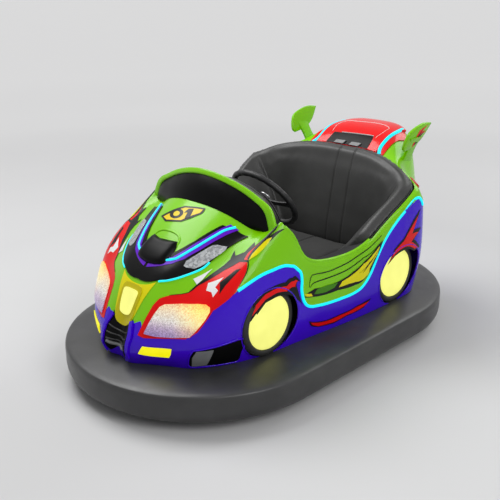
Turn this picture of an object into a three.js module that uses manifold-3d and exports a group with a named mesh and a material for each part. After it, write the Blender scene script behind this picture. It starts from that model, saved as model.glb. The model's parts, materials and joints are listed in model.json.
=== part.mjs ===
// Two-seat fairground bumper car: a moulded body on a steel chassis inside a rubber ring,
// driven by one steered wheel under the bonnet and carried by two plain wheels at the rear.
// Millimetres. X is the car's left, -Y its front, Z up. The origin is on the floor,
// below the middle of the rubber ring.
import * as THREE from 'three';
import { mergeVertices } from 'three/addons/utils/BufferGeometryUtils.js';
import Module from 'manifold-3d';

const wasm = await Module();
wasm.setup();

// ---- driving dimensions -------------------------------------------------------------
const GAP = 0.3; // seat between two pieces that touch
const SEAM = 0.8; // open seam between two body panels
const RUNNING_GAP = 6; // clearance around a piece that turns
const RING_LENGTH = 1950;
const RING_WIDTH = 1169;
const DRAWN_LENGTH = 1950; // length and width of the ring that plan positions are drawn in:
const DRAWN_WIDTH = 1169; // whatever the ring carries moves with it
const RING_BASE_Z = 47;
const RING_TOP_Z = 185;
const RING_DEPTH = 215; // rubber section, outer face to inner face
const SILL = RING_TOP_Z + GAP; // the body's lower edge lies on the ring
const CHANNEL_WALL = 6;
const PLATE_THICKNESS = 8;
const PLATE_Z = 112; // underside of the chassis plate
const BODY_WALL = 5;
const TRIM_WALL = 4;
const SINK = 3; // trim reaches this far into its panel before it is cut to seat on it
const LENS_WALL = 6;
const ARCH_CLEARANCE = 5; // open gap between a side wheel and its arch
const SIDE_WHEEL_RADIUS = 138;
const SIDE_WHEEL_WIDTH = 52;
const SIDE_WHEEL_Z = RING_TOP_Z + 2 + SIDE_WHEEL_RADIUS; // just clear of the ring
const FRONT_SIDE_WHEEL = place(412, -416, SIDE_WHEEL_Z);
const REAR_SIDE_WHEEL = place(458, 360, SIDE_WHEEL_Z);
const ARCH_RADIUS = SIDE_WHEEL_RADIUS + ARCH_CLEARANCE;
const DRAWN_ARCH_TOP = 468; // top of the wheel arches that the body's columns are drawn over
const ARCH_RISE = SIDE_WHEEL_Z + ARCH_RADIUS - DRAWN_ARCH_TOP;
const DRIVE_WHEEL_RADIUS = 95;
const DRIVE_WHEEL_WIDTH = 56;
const DRIVE_Y = placeY(-520);
const DRIVE_CHEEK = 12;
const TURNTABLE_RADIUS = 120;
const TURNTABLE_Z = 2 * DRIVE_WHEEL_RADIUS + 25;
const KINGPIN_RADIUS = 30;
const BEARING_HEIGHT = 40;
const REAR_WHEEL_RADIUS = 75;
const REAR_WHEEL_WIDTH = 44;
const REAR_WHEEL_X = placeX(270);
const REAR_WHEEL_Y = placeY(440);
const AXLE_SIZE = 36;
const AXLE_PIN_RADIUS = 10;
const STEERING_RADIUS = 160;
const STEERING_RIM = 14;
const STEERING_CENTRE = place(0, -20, 660);
const STEERING_AXIS = new THREE.Vector3(0, 0.8, 0.6);
const COLUMN_RADIUS = 22;
const COLUMN_LENGTH = 420;
const FLOOR_Z = 205;
const TUB_WALL = 4;
const channelOuter = RING_DEPTH + GAP; // insets of the channel's faces from the ring's edge
const channelInner = channelOuter + CHANNEL_WALL;
const plateHalf = RING_WIDTH / 2 - channelInner - GAP;
const wheelInner = FRONT_SIDE_WHEEL.x - SIDE_WHEEL_WIDTH;
const POST_OUTER = Math.min(plateHalf - 3.9, wheelInner - 1); // upright behind a side wheel
const POST_INNER = POST_OUTER - 14;
const TUB_HALF_WIDTH = POST_INNER - 15;
const RAIL_X = TUB_HALF_WIDTH - 30; // inner face of the rails that carry the tub
const CUSHION_TOP = 400;

// ---- small tools --------------------------------------------------------------------
const V = (x, y, z) => new THREE.Vector3(x, y, z);

// Plan positions, which follow the ring's width and length. Heights don't.
function placeX(x) {
  return (x * RING_WIDTH) / DRAWN_WIDTH;
}
function placeY(y) {
  return (y * RING_LENGTH) / DRAWN_LENGTH;
}
function place(x, y, z) {
  return new THREE.Vector3(placeX(x), placeY(y), z);
}

function toSolid(geometry) {
  const bare = geometry.index ? geometry.toNonIndexed() : geometry.clone();
  for (const name of Object.keys(bare.attributes)) {
    if (name !== 'position') bare.deleteAttribute(name);
  }
  const merged = mergeVertices(bare, 1e-4);
  const source = merged.index.array;
  const triangles = [];
  for (let i = 0; i < source.length; i += 3) {
    const [a, b, c] = [source[i], source[i + 1], source[i + 2]];
    if (a !== b && b !== c && c !== a) triangles.push(a, b, c);
  }
  return new wasm.Manifold(new wasm.Mesh({
    numProp: 3,
    vertProperties: new Float32Array(merged.attributes.position.array),
    triVerts: new Uint32Array(triangles),
  }));
}

function toGeometry(solid) {
  const mesh = solid.getMesh();
  const geometry = new THREE.BufferGeometry();
  geometry.setAttribute('position', new THREE.BufferAttribute(mesh.vertProperties, 3));
  geometry.setIndex(new THREE.BufferAttribute(mesh.triVerts, 1));
  return geometry;
}

const union = (...parts) => parts.reduce((a, b) => a.add(b));

function box(x0, x1, y0, y1, z0, z1) {
  const geometry = new THREE.BoxGeometry(x1 - x0, y1 - y0, z1 - z0);
  geometry.translate((x0 + x1) / 2, (y0 + y1) / 2, (z0 + z1) / 2);
  return toSolid(geometry);
}

// A cylinder along X, Y or Z, centred on `centre`.
function cylinder(radius, length, centre, axis = 'z', sides = 32) {
  const geometry = new THREE.CylinderGeometry(radius, radius, length, sides);
  if (axis === 'x') geometry.rotateZ(Math.PI / 2);
  if (axis === 'z') geometry.rotateX(Math.PI / 2);
  geometry.translate(centre.x, centre.y, centre.z);
  return toSolid(geometry);
}

// A shape drawn in plan (x, y) and raised from z0 to z1.
function planPrism(shape, z0, z1, curveSegments = 12) {
  const geometry = new THREE.ExtrudeGeometry(shape, { depth: z1 - z0, bevelEnabled: false, curveSegments });
  geometry.translate(0, 0, z0);
  return toSolid(geometry);
}

// Adds one four-cornered face, split along its shorter diagonal, so that the two sides of a
// thin wall fold the same way.
function quad(index, points, a, b, c, d) {
  if (points[a].distanceTo(points[c]) <= points[b].distanceTo(points[d])) {
    index.push(a, b, c, a, c, d);
  } else {
    index.push(a, b, d, b, c, d);
  }
}

// A closed solid from points and triangles, turned the right way out.
function shell(points, index) {
  const geometry = new THREE.BufferGeometry();
  const positions = points.flatMap((p) => [p.x, p.y, p.z]);
  geometry.setAttribute('position', new THREE.Float32BufferAttribute(positions, 3));
  geometry.setIndex(index);
  const solid = toSolid(geometry);
  if (solid.volume() > 0) return solid;
  for (let i = 0; i < index.length; i += 3) {
    [index[i + 1], index[i + 2]] = [index[i + 2], index[i + 1]];
  }
  geometry.setIndex(index);
  return toSolid(geometry);
}

function strips(index, points, rowCount, count, closed) {
  const last = closed ? rowCount : rowCount - 1;
  for (let i = 0; i < last; i += 1) {
    const a = i * count;
    const b = ((i + 1) % rowCount) * count;
    for (let j = 0; j < count; j += 1) {
      const k = (j + 1) % count;
      quad(index, points, a + j, b + j, b + k, a + k);
    }
  }
}

// Closed skin over rows of points. Each row is a closed loop of the same count; the rows
// themselves either close on each other or are capped at both ends.
function loft(rows, closed) {
  const count = rows[0].length;
  const points = rows.flat();
  const index = [];
  strips(index, points, rows.length, count, closed);
  if (!closed) {
    const end = (rows.length - 1) * count;
    for (let j = 1; j < count - 1; j += 1) {
      index.push(0, j, j + 1, end, end + j + 1, end + j);
    }
  }
  return shell(points, index);
}

// A skin of even thickness over a surface. `at(s, t)` gives the outer point and normal for
// s and t in 0..1; lift is the outer face's height over that surface.
function skin(at, columns, rows, thickness, lift = 0) {
  const faces = [lift, lift - thickness].map((offset) => {
    const grid = [];
    for (let i = 0; i <= columns; i += 1) {
      const line = [];
      for (let j = 0; j <= rows; j += 1) {
        const { point, normal } = at(i / columns, j / rows);
        line.push(point.clone().addScaledVector(normal, offset));
      }
      grid.push(line);
    }
    return grid;
  });
  const loops = [];
  for (let i = 0; i <= columns; i += 1) {
    loops.push([...faces[0][i], ...faces[1][i].slice().reverse()]);
  }
  return loftStrips(loops, rows + 1);
}

// Loops whose two halves face each other, capped by quads so that no cap folds over itself.
function loftStrips(loops, half) {
  const count = loops[0].length;
  const points = loops.flat();
  const index = [];
  strips(index, points, loops.length, count, false);
  const end = (loops.length - 1) * count;
  for (let j = 0; j < half - 1; j += 1) {
    const across = count - 1 - j;
    quad(index, points, j, j + 1, across - 1, across);
    quad(index, points, end + across, end + across - 1, end + j + 1, end + j);
  }
  return shell(points, index);
}

// ---- the body's surface ---------------------------------------------------------------
// Columns run from the middle of the front, along the car's left side, to the middle of
// the rear. Each has a point on the sill, the bulge, the colour line, and four more up to
// the edge of the cockpit: 0 sill, 1 bulge, 2 colour line, 3-5 upper panel, 6 opening edge.
const BODY_COLUMNS = [
  [
    place(0, -823, SILL), place(0, -822, 255), place(0, -800, 325), place(0, -742, 462),
    place(0, -640, 560), place(0, -522, 660), place(0, -425, 729),
  ],
  [
    place(62, -838, SILL), place(60, -855, 250), place(62, -806, 345), place(66, -735, 472),
    place(75, -632, 563), place(82, -516, 658), place(95, -420, 724),
  ],
  [
    place(120, -800, SILL), place(130, -832, 250), place(134, -783, 372), place(136, -695, 500),
    place(145, -610, 568), place(165, -500, 643), place(190, -400, 700),
  ],
  [
    place(205, -745, SILL), place(249, -774, 278), place(262, -722, 395), place(255, -640, 490),
    place(245, -575, 550), place(258, -465, 620), place(287, -362, 655),
  ],
  [
    place(285, -690, SILL), place(335, -688, 280), place(355, -655, 420), place(340, -590, 520),
    place(325, -500, 580), place(330, -405, 638), place(342, -322, 678),
  ],
  [
    place(358, -560, SILL), place(395, -566, 290), place(396, -572, 480), place(385, -500, 565),
    place(368, -430, 622), place(364, -374, 664), place(368, -316, 700),
  ],
  [
    place(396, -414, SILL), place(418, -414, 310), place(408, -440, 528), place(402, -400, 582),
    place(392, -370, 625), place(388, -340, 658), place(388, -310, 680),
  ],
  [
    place(408, -290, SILL), place(430, -290, 310), place(420, -315, 528), place(418, -300, 560),
    place(412, -290, 600), place(408, -282, 625), place(406, -275, 636),
  ],
  [
    place(416, -200, SILL), place(430, -200, 260), place(438, -232, 372), place(436, -225, 430),
    place(432, -215, 480), place(428, -210, 510), place(424, -212, 524),
  ],
  [
    place(434, -30, SILL), place(447, -25, 250), place(455, -8, 320), place(455, -8, 370),
    place(454, -8, 430), place(450, -8, 480), place(442, -8, 498),
  ],
  [
    place(444, 100, SILL), place(456, 100, 260), place(463, 105, 338), place(468, 108, 390),
    place(470, 112, 450), place(468, 115, 505), place(460, 118, 525),
  ],
  [
    place(450, 225, SILL), place(470, 225, 330), place(478, 232, 512), place(482, 230, 540),
    place(484, 226, 565), place(482, 222, 585), place(474, 220, 596),
  ],
  [
    place(452, 380, SILL), place(492, 375, 420), place(512, 380, 662), place(511, 381, 672),
    place(508, 382, 682), place(502, 382, 690), place(492, 380, 695),
  ],
  [
    place(438, 540, SILL), place(482, 520, 380), place(500, 478, 625), place(492, 470, 672),
    place(482, 462, 700), place(472, 455, 716), place(458, 448, 724),
  ],
  [
    place(335, 650, SILL), place(380, 645, 360), place(392, 598, 585), place(368, 570, 664),
    place(356, 546, 706), place(358, 516, 742), place(365, 490, 764),
  ],
  [
    place(200, 755, SILL), place(234, 792, 380), place(230, 800, 620), place(204, 806, 834),
    place(196, 728, 868), place(200, 630, 850), place(205, 545, 792),
  ],
  [
    place(0, 790, SILL), place(0, 840, 380), place(0, 868, 640), place(0, 856, 864),
    place(0, 746, 890), place(0, 640, 864), place(0, 560, 798),
  ],
];
// How far the columns over a wheel arch rise with it, from the colour line up.
const ARCH_SHARE = { 5: 0.6, 6: 1, 7: 0.6, 11: 0.6, 12: 1, 13: 0.6 };
for (const [number, share] of Object.entries(ARCH_SHARE)) {
  for (const point of BODY_COLUMNS[number].slice(2)) point.z += share * ARCH_RISE;
}
const REAR = BODY_COLUMNS.length - 1;
const SPAN = 2 * REAR;
const COLUMN_STEPS = 2; // facets between two columns
const ROW_STEPS = 2; // facets between two rows

function column(i) {
  const wrapped = ((i % SPAN) + SPAN) % SPAN;
  if (wrapped <= REAR) return BODY_COLUMNS[wrapped];
  return BODY_COLUMNS[SPAN - wrapped].map((p) => V(-p.x, p.y, p.z));
}

function spline(p0, p1, p2, p3, t) {
  const curve = new THREE.CatmullRomCurve3([p0, p1, p2, p3], false, 'catmullrom', 0.5);
  return curve.getPoint((1 + t) / 3);
}

function rowPoint(points, u) {
  const last = points.length - 1;
  const i = Math.min(Math.floor(u), last - 1);
  const before = points[Math.max(i - 1, 0)];
  const after = points[Math.min(i + 2, last)];
  return spline(before, points[i], points[i + 1], after, u - i);
}

// Point on the outer surface: v counts columns round the body, u rows up it.
function bodyPoint(v, u) {
  const i = Math.floor(v);
  const [a, b, c, d] = [i - 1, i, i + 1, i + 2].map((k) => rowPoint(column(k), u));
  return spline(a, b, c, d, v - i);
}

function bodyNormal(v, u) {
  const e = 0.04;
  const low = Math.max(u - e, 0);
  const high = Math.min(u + e, 6);
  const along = bodyPoint(v + e, u).sub(bodyPoint(v - e, u));
  const up = bodyPoint(v, high).sub(bodyPoint(v, low));
  return along.cross(up).normalize();
}

// One moulded panel between columns v0..v1 and rows u0..u1, half a gap short on each side.
function bodyPanel(v0, v1, u0, u1, thickness = BODY_WALL, lift = 0) {
  const shrink = (v, u, s, t) => {
    const e = 0.02;
    const inV = s === 0 ? 1 : -1;
    const inU = t === 0 ? 1 : -1;
    const alongV = bodyPoint(v + inV * e, u).sub(bodyPoint(v, u)).divideScalar(e);
    const alongU = bodyPoint(v, u + inU * e).sub(bodyPoint(v, u)).divideScalar(e);
    const slant = Math.sin(alongV.angleTo(alongU));
    const reachV = alongV.length() * slant;
    const reachU = alongU.length() * slant;
    const dv = s === 0 || s === 1 ? (inV * SEAM) / 2 / reachV : 0;
    const du = t === 0 || t === 1 ? (inU * SEAM) / 2 / reachU : 0;
    return [v + dv, u + du];
  };
  const at = (s, t) => {
    const [v, u] = shrink(v0 + (v1 - v0) * s, u0 + (u1 - u0) * t, s, t);
    return { point: bodyPoint(v, u), normal: bodyNormal(v, u) };
  };
  return skin(at, Math.round((v1 - v0) * COLUMN_STEPS), Math.round((u1 - u0) * ROW_STEPS), thickness, lift);
}

// Cuts a trim piece to lie on the outer facets of the panel below it.
function seatOnBody(solid, v0, v1, u0, u1) {
  const clear = solid.subtract(bodyPanel(v0, v1, u0, u1, 2 * BODY_WALL, GAP));
  return biggest(clear.subtract(bodyPanel(v0, v1, u0, u1)));
}

// A plate laid on the body inside four corners given as [v, u].
function bodyPlate(corners, thickness, columns, rows) {
  const [a, b, c, d] = corners;
  const mix = (p, q, t) => p + (q - p) * t;
  const at = (s, t) => {
    const v = mix(mix(a[0], b[0], s), mix(d[0], c[0], s), t);
    const u = mix(mix(a[1], b[1], s), mix(d[1], c[1], s), t);
    return { point: bodyPoint(v, u), normal: bodyNormal(v, u) };
  };
  return skin(at, columns, rows, thickness + SINK, thickness);
}

const biggest = (solid) => solid.decompose().sort((a, b) => b.volume() - a.volume())[0];
const mirrored = (solid) => solid.mirror([1, 0, 0]);

// ---- pieces ----------------------------------------------------------------------------
const pieces = [];
const finishes = {
  rubber: { color: 0x2b2b2d, roughness: 0.4, metalness: 0 },
  green: { color: 0x7fc800, roughness: 0.25, metalness: 0 },
  blue: { color: 0x3c00c8, roughness: 0.2, metalness: 0 },
  red: { color: 0xe10000, roughness: 0.2, metalness: 0 },
  black: { color: 0x0c0c0c, roughness: 0.3, metalness: 0 },
  leather: { color: 0x303030, roughness: 0.5, metalness: 0 },
  steel: { color: 0x6d7074, roughness: 0.45, metalness: 0.8 },
  lens: { color: 0xdcdcd2, roughness: 0.1, metalness: 0 },
  lamp: { color: 0xffff8c, roughness: 0.3, metalness: 0 },
  plastic: { color: 0x232326, roughness: 0.6, metalness: 0 },
};

function piece(name, solid, finish) {
  const mesh = new THREE.Mesh(toGeometry(solid), new THREE.MeshStandardMaterial(finishes[finish]));
  mesh.name = name;
  pieces.push(mesh);
}

function pair(name, solid, finish) {
  piece(`${name}_left`, solid, finish);
  piece(`${name}_right`, mirrored(solid), finish);
}

// Left and right copies, each cut to lie on what carries it.
function seatedPair(name, solid, seat, finish) {
  piece(`${name}_left`, seat(solid), finish);
  piece(`${name}_right`, seat(mirrored(solid)), finish);
}

// ---- rubber ring, channel and chassis ---------------------------------------------------
// Plan outline of the ring at a given inset from its outer face: straight sides, round ends.
function ringOutline(inset, endSteps = 20) {
  const radius = RING_WIDTH / 2 - inset;
  const straight = RING_LENGTH / 2 - RING_WIDTH / 2;
  const points = [];
  for (const [side, start] of [[1, 0], [-1, Math.PI]]) {
    for (let i = 0; i <= endSteps; i += 1) {
      const angle = start + (Math.PI * i) / endSteps;
      points.push(new THREE.Vector2(radius * Math.cos(angle), side * straight + radius * Math.sin(angle)));
    }
  }
  return points;
}

function ringBand(section) {
  return loft(section.map(([inset, z]) => ringOutline(inset).map((p) => V(p.x, p.y, z))), true);
}

const RIDGE_Z = RING_TOP_Z - 21;
const RING_SECTION = [
  [0, RING_BASE_Z + 30], [0, RIDGE_Z - 28], [5, RIDGE_Z - 10], [18, RIDGE_Z], [60, RIDGE_Z + 8],
  [118, RING_TOP_Z - 4], [150, RING_TOP_Z], [RING_DEPTH, RING_TOP_Z], [RING_DEPTH, RING_BASE_Z + 8],
  [RING_DEPTH - 20, RING_BASE_Z], [24, RING_BASE_Z], [8, RING_BASE_Z + 8],
];
piece('bumper_ring', ringBand(RING_SECTION), 'rubber');

piece('ring_channel', ringBand([
  [channelOuter, RING_BASE_Z + 10], [channelOuter, RING_TOP_Z - 3],
  [channelInner, RING_TOP_Z - 3], [channelInner, RING_BASE_Z + 10],
]), 'steel');

const plateShape = new THREE.Shape(ringOutline(channelInner + GAP));
const driveHoleRadius = TURNTABLE_RADIUS + 2 * RUNNING_GAP;
const driveHole = cylinder(driveHoleRadius, 400, V(0, DRIVE_Y, PLATE_Z));
const slotHalfWidth = REAR_WHEEL_WIDTH / 2 + 2 * RUNNING_GAP;
const slotHalfLength = REAR_WHEEL_RADIUS + RUNNING_GAP;
const rearWheelSlot = box(
  REAR_WHEEL_X - slotHalfWidth,
  REAR_WHEEL_X + slotHalfWidth,
  REAR_WHEEL_Y - slotHalfLength,
  REAR_WHEEL_Y + slotHalfLength,
  PLATE_Z - 20,
  PLATE_Z + 40,
);
const plateTop = PLATE_Z + PLATE_THICKNESS;
const WELD = 1; // members of the chassis run this far into its plate
const POST_WIDTH = 40;
function sideWheelPost(centre) {
  const y0 = centre.y - POST_WIDTH / 2;
  const y1 = centre.y + POST_WIDTH / 2;
  const z0 = centre.z - POST_WIDTH / 2;
  const z1 = centre.z + POST_WIDTH / 2;
  const inner = centre.x - SIDE_WHEEL_WIDTH - GAP;
  return union(
    box(POST_INNER, POST_OUTER, y0, y1, plateTop - WELD, z1),
    box(POST_INNER, inner, y0, y1, z0, z1),
  );
}
const halfFrame = () => union(
  box(RAIL_X, POST_OUTER, placeY(-320), placeY(340), plateTop - WELD, FLOOR_Z - GAP),
  sideWheelPost(FRONT_SIDE_WHEEL),
  sideWheelPost(REAR_SIDE_WHEEL),
);
const bearingTop = TURNTABLE_Z + BEARING_HEIGHT;
const BRIDGE_HALF = 25;
const roundEnd = (RING_LENGTH - RING_WIDTH) / 2; // where the plate's end starts to curve in
const intoEnd = Math.max(BRIDGE_HALF - DRIVE_Y - roundEnd, 0);
const plateEdge = Math.sqrt(plateHalf * plateHalf - intoEnd * intoEnd);
const bridgeEnd = Math.min(placeX(315), plateEdge - 4);
const bridgeFoot = box(
  bridgeEnd - POST_WIDTH,
  bridgeEnd,
  DRIVE_Y - BRIDGE_HALF,
  DRIVE_Y + BRIDGE_HALF,
  plateTop - WELD,
  bearingTop,
);
const bridgeTop = box(
  -bridgeEnd,
  bridgeEnd,
  DRIVE_Y - BRIDGE_HALF,
  DRIVE_Y + BRIDGE_HALF,
  TURNTABLE_Z + 12,
  bearingTop,
);
const kingpinBore = cylinder(KINGPIN_RADIUS + GAP, 200, V(0, DRIVE_Y, TURNTABLE_Z));
const crossmember = union(bridgeTop, mirrored(bridgeFoot), bridgeFoot).subtract(kingpinBore);
const mountHalf = driveHoleRadius + 34; // half the side of the drive unit's own square plate
const squarePlate = (half) => box(
  -half,
  half,
  DRIVE_Y - half,
  DRIVE_Y + half,
  PLATE_Z,
  plateTop,
);
piece('drive_plate', squarePlate(mountHalf - GAP).subtract(driveHole), 'steel');
const openPlate = planPrism(plateShape, PLATE_Z, plateTop, 1)
  .subtract(squarePlate(mountHalf))
  .subtract(rearWheelSlot)
  .subtract(mirrored(rearWheelSlot));
const frame = union(
  openPlate,
  halfFrame(),
  mirrored(halfFrame()),
  crossmember,
);
piece('chassis_frame', frame, 'steel');

// ---- drive unit, rear axle and wheels ---------------------------------------------------
const forkHalf = DRIVE_WHEEL_WIDTH / 2 + RUNNING_GAP;
const axleHole = (radius, length, y, z) => cylinder(radius, length, V(0, y, z), 'x', 24);
const CHEEK_HALF = 35; // half the width of a fork cheek, and its reach below the axle
const forkCheek = box(
  forkHalf,
  forkHalf + DRIVE_CHEEK,
  DRIVE_Y - CHEEK_HALF,
  DRIVE_Y + CHEEK_HALF,
  DRIVE_WHEEL_RADIUS - CHEEK_HALF,
  TURNTABLE_Z - 5,
);
const kingpinCentre = V(0, DRIVE_Y, (TURNTABLE_Z + bearingTop) / 2 + 2);
const HUB_MOTOR = { radius: 46, length: 44 };
const motorCentre = V(forkHalf + DRIVE_CHEEK + HUB_MOTOR.length / 2 - 2, DRIVE_Y, DRIVE_WHEEL_RADIUS);
const driveFork = union(
  cylinder(TURNTABLE_RADIUS - 20, 16, V(0, DRIVE_Y, TURNTABLE_Z + 2), 'z', 40),
  cylinder(KINGPIN_RADIUS, BEARING_HEIGHT + 12, kingpinCentre, 'z', 32),
  forkCheek,
  mirrored(forkCheek),
  cylinder(HUB_MOTOR.radius, HUB_MOTOR.length, motorCentre, 'x', 32),
  axleHole(AXLE_PIN_RADIUS, 2 * (forkHalf + DRIVE_CHEEK - 2), DRIVE_Y, DRIVE_WHEEL_RADIUS),
);
piece('drive_fork', driveFork, 'steel');

function roadWheel(radius, width, x, y, bore) {
  const r = radius;
  const w = width / 2;
  const profile = [[bore, -w], [r - 8, -w], [r, -w + 8], [r, w - 8], [r - 8, w], [bore, w], [bore, -w]];
  const geometry = new THREE.LatheGeometry(profile.map(([a, b]) => new THREE.Vector2(a, b)), 40);
  geometry.rotateZ(-Math.PI / 2);
  geometry.translate(x, y, radius);
  return toSolid(geometry);
}
const wheelBore = AXLE_PIN_RADIUS + GAP;
piece('drive_wheel', roadWheel(DRIVE_WHEEL_RADIUS, DRIVE_WHEEL_WIDTH, 0, DRIVE_Y, wheelBore), 'rubber');

const axleReach = REAR_WHEEL_X - REAR_WHEEL_WIDTH / 2 - RUNNING_GAP;
const axleHalf = AXLE_SIZE / 2;
const axleBeam = box(
  -axleReach,
  axleReach,
  REAR_WHEEL_Y - axleHalf,
  REAR_WHEEL_Y + axleHalf,
  REAR_WHEEL_RADIUS - axleHalf,
  REAR_WHEEL_RADIUS + axleHalf,
);
const AXLE_FOOT = { from: 60, to: 10, half: 30 }; // where a foot stands, in from the beam's end
const axleFoot = box(
  axleReach - AXLE_FOOT.from,
  axleReach - AXLE_FOOT.to,
  REAR_WHEEL_Y - AXLE_FOOT.half,
  REAR_WHEEL_Y + AXLE_FOOT.half,
  REAR_WHEEL_RADIUS,
  PLATE_Z - GAP,
);
const pinReach = REAR_WHEEL_X + REAR_WHEEL_WIDTH / 2 + 10;
const rearAxle = union(
  axleBeam,
  axleFoot,
  mirrored(axleFoot),
  axleHole(AXLE_PIN_RADIUS, 2 * pinReach, REAR_WHEEL_Y, REAR_WHEEL_RADIUS),
);
piece('rear_axle', rearAxle, 'steel');
const rearWheel = roadWheel(REAR_WHEEL_RADIUS, REAR_WHEEL_WIDTH, REAR_WHEEL_X, REAR_WHEEL_Y, wheelBore);
pair('rear_wheel', rearWheel, 'rubber');

// ---- moulded body panels ------------------------------------------------------------------
const archCut = (centre) => cylinder(ARCH_RADIUS, 300, centre, 'x', 48);
const frontArch = archCut(FRONT_SIDE_WHEEL);
const rearArch = archCut(REAR_SIDE_WHEEL);
const fascia = bodyPanel(-4, 4, 0, 2);
const GRILLE = { x: 44, z0: 208, z1: 296, front: placeY(-900), back: placeY(-795), lip: 12 };
const grilleWindow = box(-GRILLE.x, GRILLE.x, GRILLE.front, GRILLE.back + 5, GRILLE.z0, GRILLE.z1);
piece('front_fascia', fascia.subtract(grilleWindow), 'blue');
const grilleBlock = box(
  -GRILLE.x - GRILLE.lip,
  GRILLE.x + GRILLE.lip,
  GRILLE.front + 40,
  GRILLE.back,
  GRILLE.z0 - GRILLE.lip,
  GRILLE.z1 + GRILLE.lip,
);
const aheadOfGrille = bodyPanel(-4, 4, 0, 2, 60 + BODY_WALL + GAP, 60);
piece('grille', biggest(grilleBlock.subtract(aheadOfGrille)), 'black');
pair('front_fender', biggest(bodyPanel(4, 8, 0, 2).subtract(frontArch)), 'blue');
pair('side_sill', biggest(bodyPanel(8, 11, 0, 2).subtract(rearArch)), 'blue');
pair('rear_fender', biggest(bodyPanel(11, 14, 0, 2).subtract(rearArch)), 'blue');
piece('tail_panel', bodyPanel(14, SPAN - 14, 0, 2), 'blue');
piece('hood', bodyPanel(-5, 5, 2, 6), 'green');
pair('door_panel', bodyPanel(5, 11, 2, 6), 'green');
piece('rear_deck', bodyPanel(11, SPAN - 11, 2, 6), 'green');

// ---- side wheels: show wheels fixed to the frame, which don't touch the floor ------------
function sideWheel(centre) {
  const w = SIDE_WHEEL_WIDTH;
  const r = SIDE_WHEEL_RADIUS;
  const profile = [
    [0, 0], [r - 8, 0], [r, 8], [r, w - 14],
    [r - 12, w], [r - 32, w], [r - 34, w - 4], [0, w - 4],
  ];
  const geometry = new THREE.LatheGeometry(profile.map(([a, b]) => new THREE.Vector2(a, b)), 40);
  geometry.rotateZ(-Math.PI / 2);
  geometry.translate(centre.x - w, centre.y, centre.z);
  return toSolid(geometry);
}
pair('side_wheel_front', sideWheel(FRONT_SIDE_WHEEL), 'lamp');
pair('side_wheel_rear', sideWheel(REAR_SIDE_WHEEL), 'lamp');

// ---- lamps and trim on the body ------------------------------------------------------------
const onNose = (solid) => seatOnBody(seatOnBody(solid, -4, 4, 0, 2), -5, 5, 2, 6);
const HEADLAMP = [[2.15, 1.75], [3.75, 1.45], [3.95, 2.15], [2.5, 2.35]];
const NOSE_LAMP = [[-0.4, 2.25], [0.4, 2.25], [0.4, 2.8], [-0.4, 2.8]];
seatedPair('headlamp', bodyPlate(HEADLAMP, LENS_WALL, 6, 5), onNose, 'lens');
piece('nose_lamp', seatOnBody(bodyPlate(NOSE_LAMP, LENS_WALL, 4, 4), -5, 5, 2, 6), 'lamp');
function bandPlate(v0, v1, low, high, thickness, columns, rows) {
  return skin((s, t) => {
    const v = v0 + (v1 - v0) * s;
    const u = low(v) + (high(v) - low(v)) * t;
    return { point: bodyPoint(v, u), normal: bodyNormal(v, u) };
  }, columns, rows, thickness + SINK, thickness);
}
const MASK_HALF = 3.1;
const maskLow = (v) => 3.1 + 0.2 * Math.abs(v);
const maskHigh = (v) => 4.15 + 0.34 * Math.abs(v);
const mask = bandPlate(-MASK_HALF, MASK_HALF, maskLow, maskHigh, TRIM_WALL, 16, 4);
piece('hood_mask', seatOnBody(mask, -5, 5, 2, 6), 'black');

// ---- windscreen, its frame, and the dashboard ------------------------------------------------
const SCREEN_FRAME = [
  place(354, -342, 655), place(322, -338, 735), place(252, -341, 776),
  place(179, -350, 806), place(90, -362, 829), place(0, -368, 838),
];
const otherSide = (points) => points.slice(0, -1).reverse().map((p) => V(-p.x, p.y, p.z));
const arch = (half) => new THREE.CatmullRomCurve3([...half, ...otherSide(half)]);
const frameCurve = arch(SCREEN_FRAME);
const FRAME_BAND = 24;
const FRAME_DEPTH = 16;
const rectangle = (halfX, halfY) => new THREE.Shape([
  new THREE.Vector2(-halfX, -halfY),
  new THREE.Vector2(halfX, -halfY),
  new THREE.Vector2(halfX, halfY),
  new THREE.Vector2(-halfX, halfY),
]);
const frameSection = rectangle(FRAME_BAND / 2, FRAME_DEPTH / 2);
const frameTube = toSolid(new THREE.ExtrudeGeometry(frameSection, { steps: 36, extrudePath: frameCurve }));
const onHood = seatOnBody(frameTube, -5, 5, 2, 6);
const onDoors = seatOnBody(seatOnBody(onHood, 5, 11, 2, 6), -11, -5, 2, 6);
piece('windscreen_frame', onDoors, 'green');

const screenTop = arch(SCREEN_FRAME.map((p) => V(p.x * 0.93, p.y - 4, p.z - FRAME_BAND / 2 - 8)));
const glass = skin((s, t) => {
  const top = screenTop.getPoint(s);
  const foot = bodyPoint(3.05 - 6.1 * s, 6);
  const low = foot.lerp(top, 0.004);
  return { point: low.lerp(top, t), normal: V(0, -0.75, 0.66) };
}, 24, 2, TRIM_WALL);
piece('windscreen', seatOnBody(glass, -5, 5, 2, 6), 'black');

const COWL_EDGE = [
  place(318, -262, 610), place(305, -255, 668), place(238, -235, 722),
  place(168, -228, 752), place(85, -222, 772), place(0, -220, 780),
];
const cowlFront = arch(SCREEN_FRAME.map((p) => V(p.x * 0.94, p.y + 16, p.z - 14)));
const cowlRear = arch(COWL_EDGE);
const cowl = skin((s, t) => {
  const front = cowlFront.getPoint(s);
  const rear = cowlRear.getPoint(s);
  return { point: front.lerp(rear, t), normal: V((s - 0.5) * -1.6, 0.1, 1).normalize() };
}, 24, 2, 8);

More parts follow.
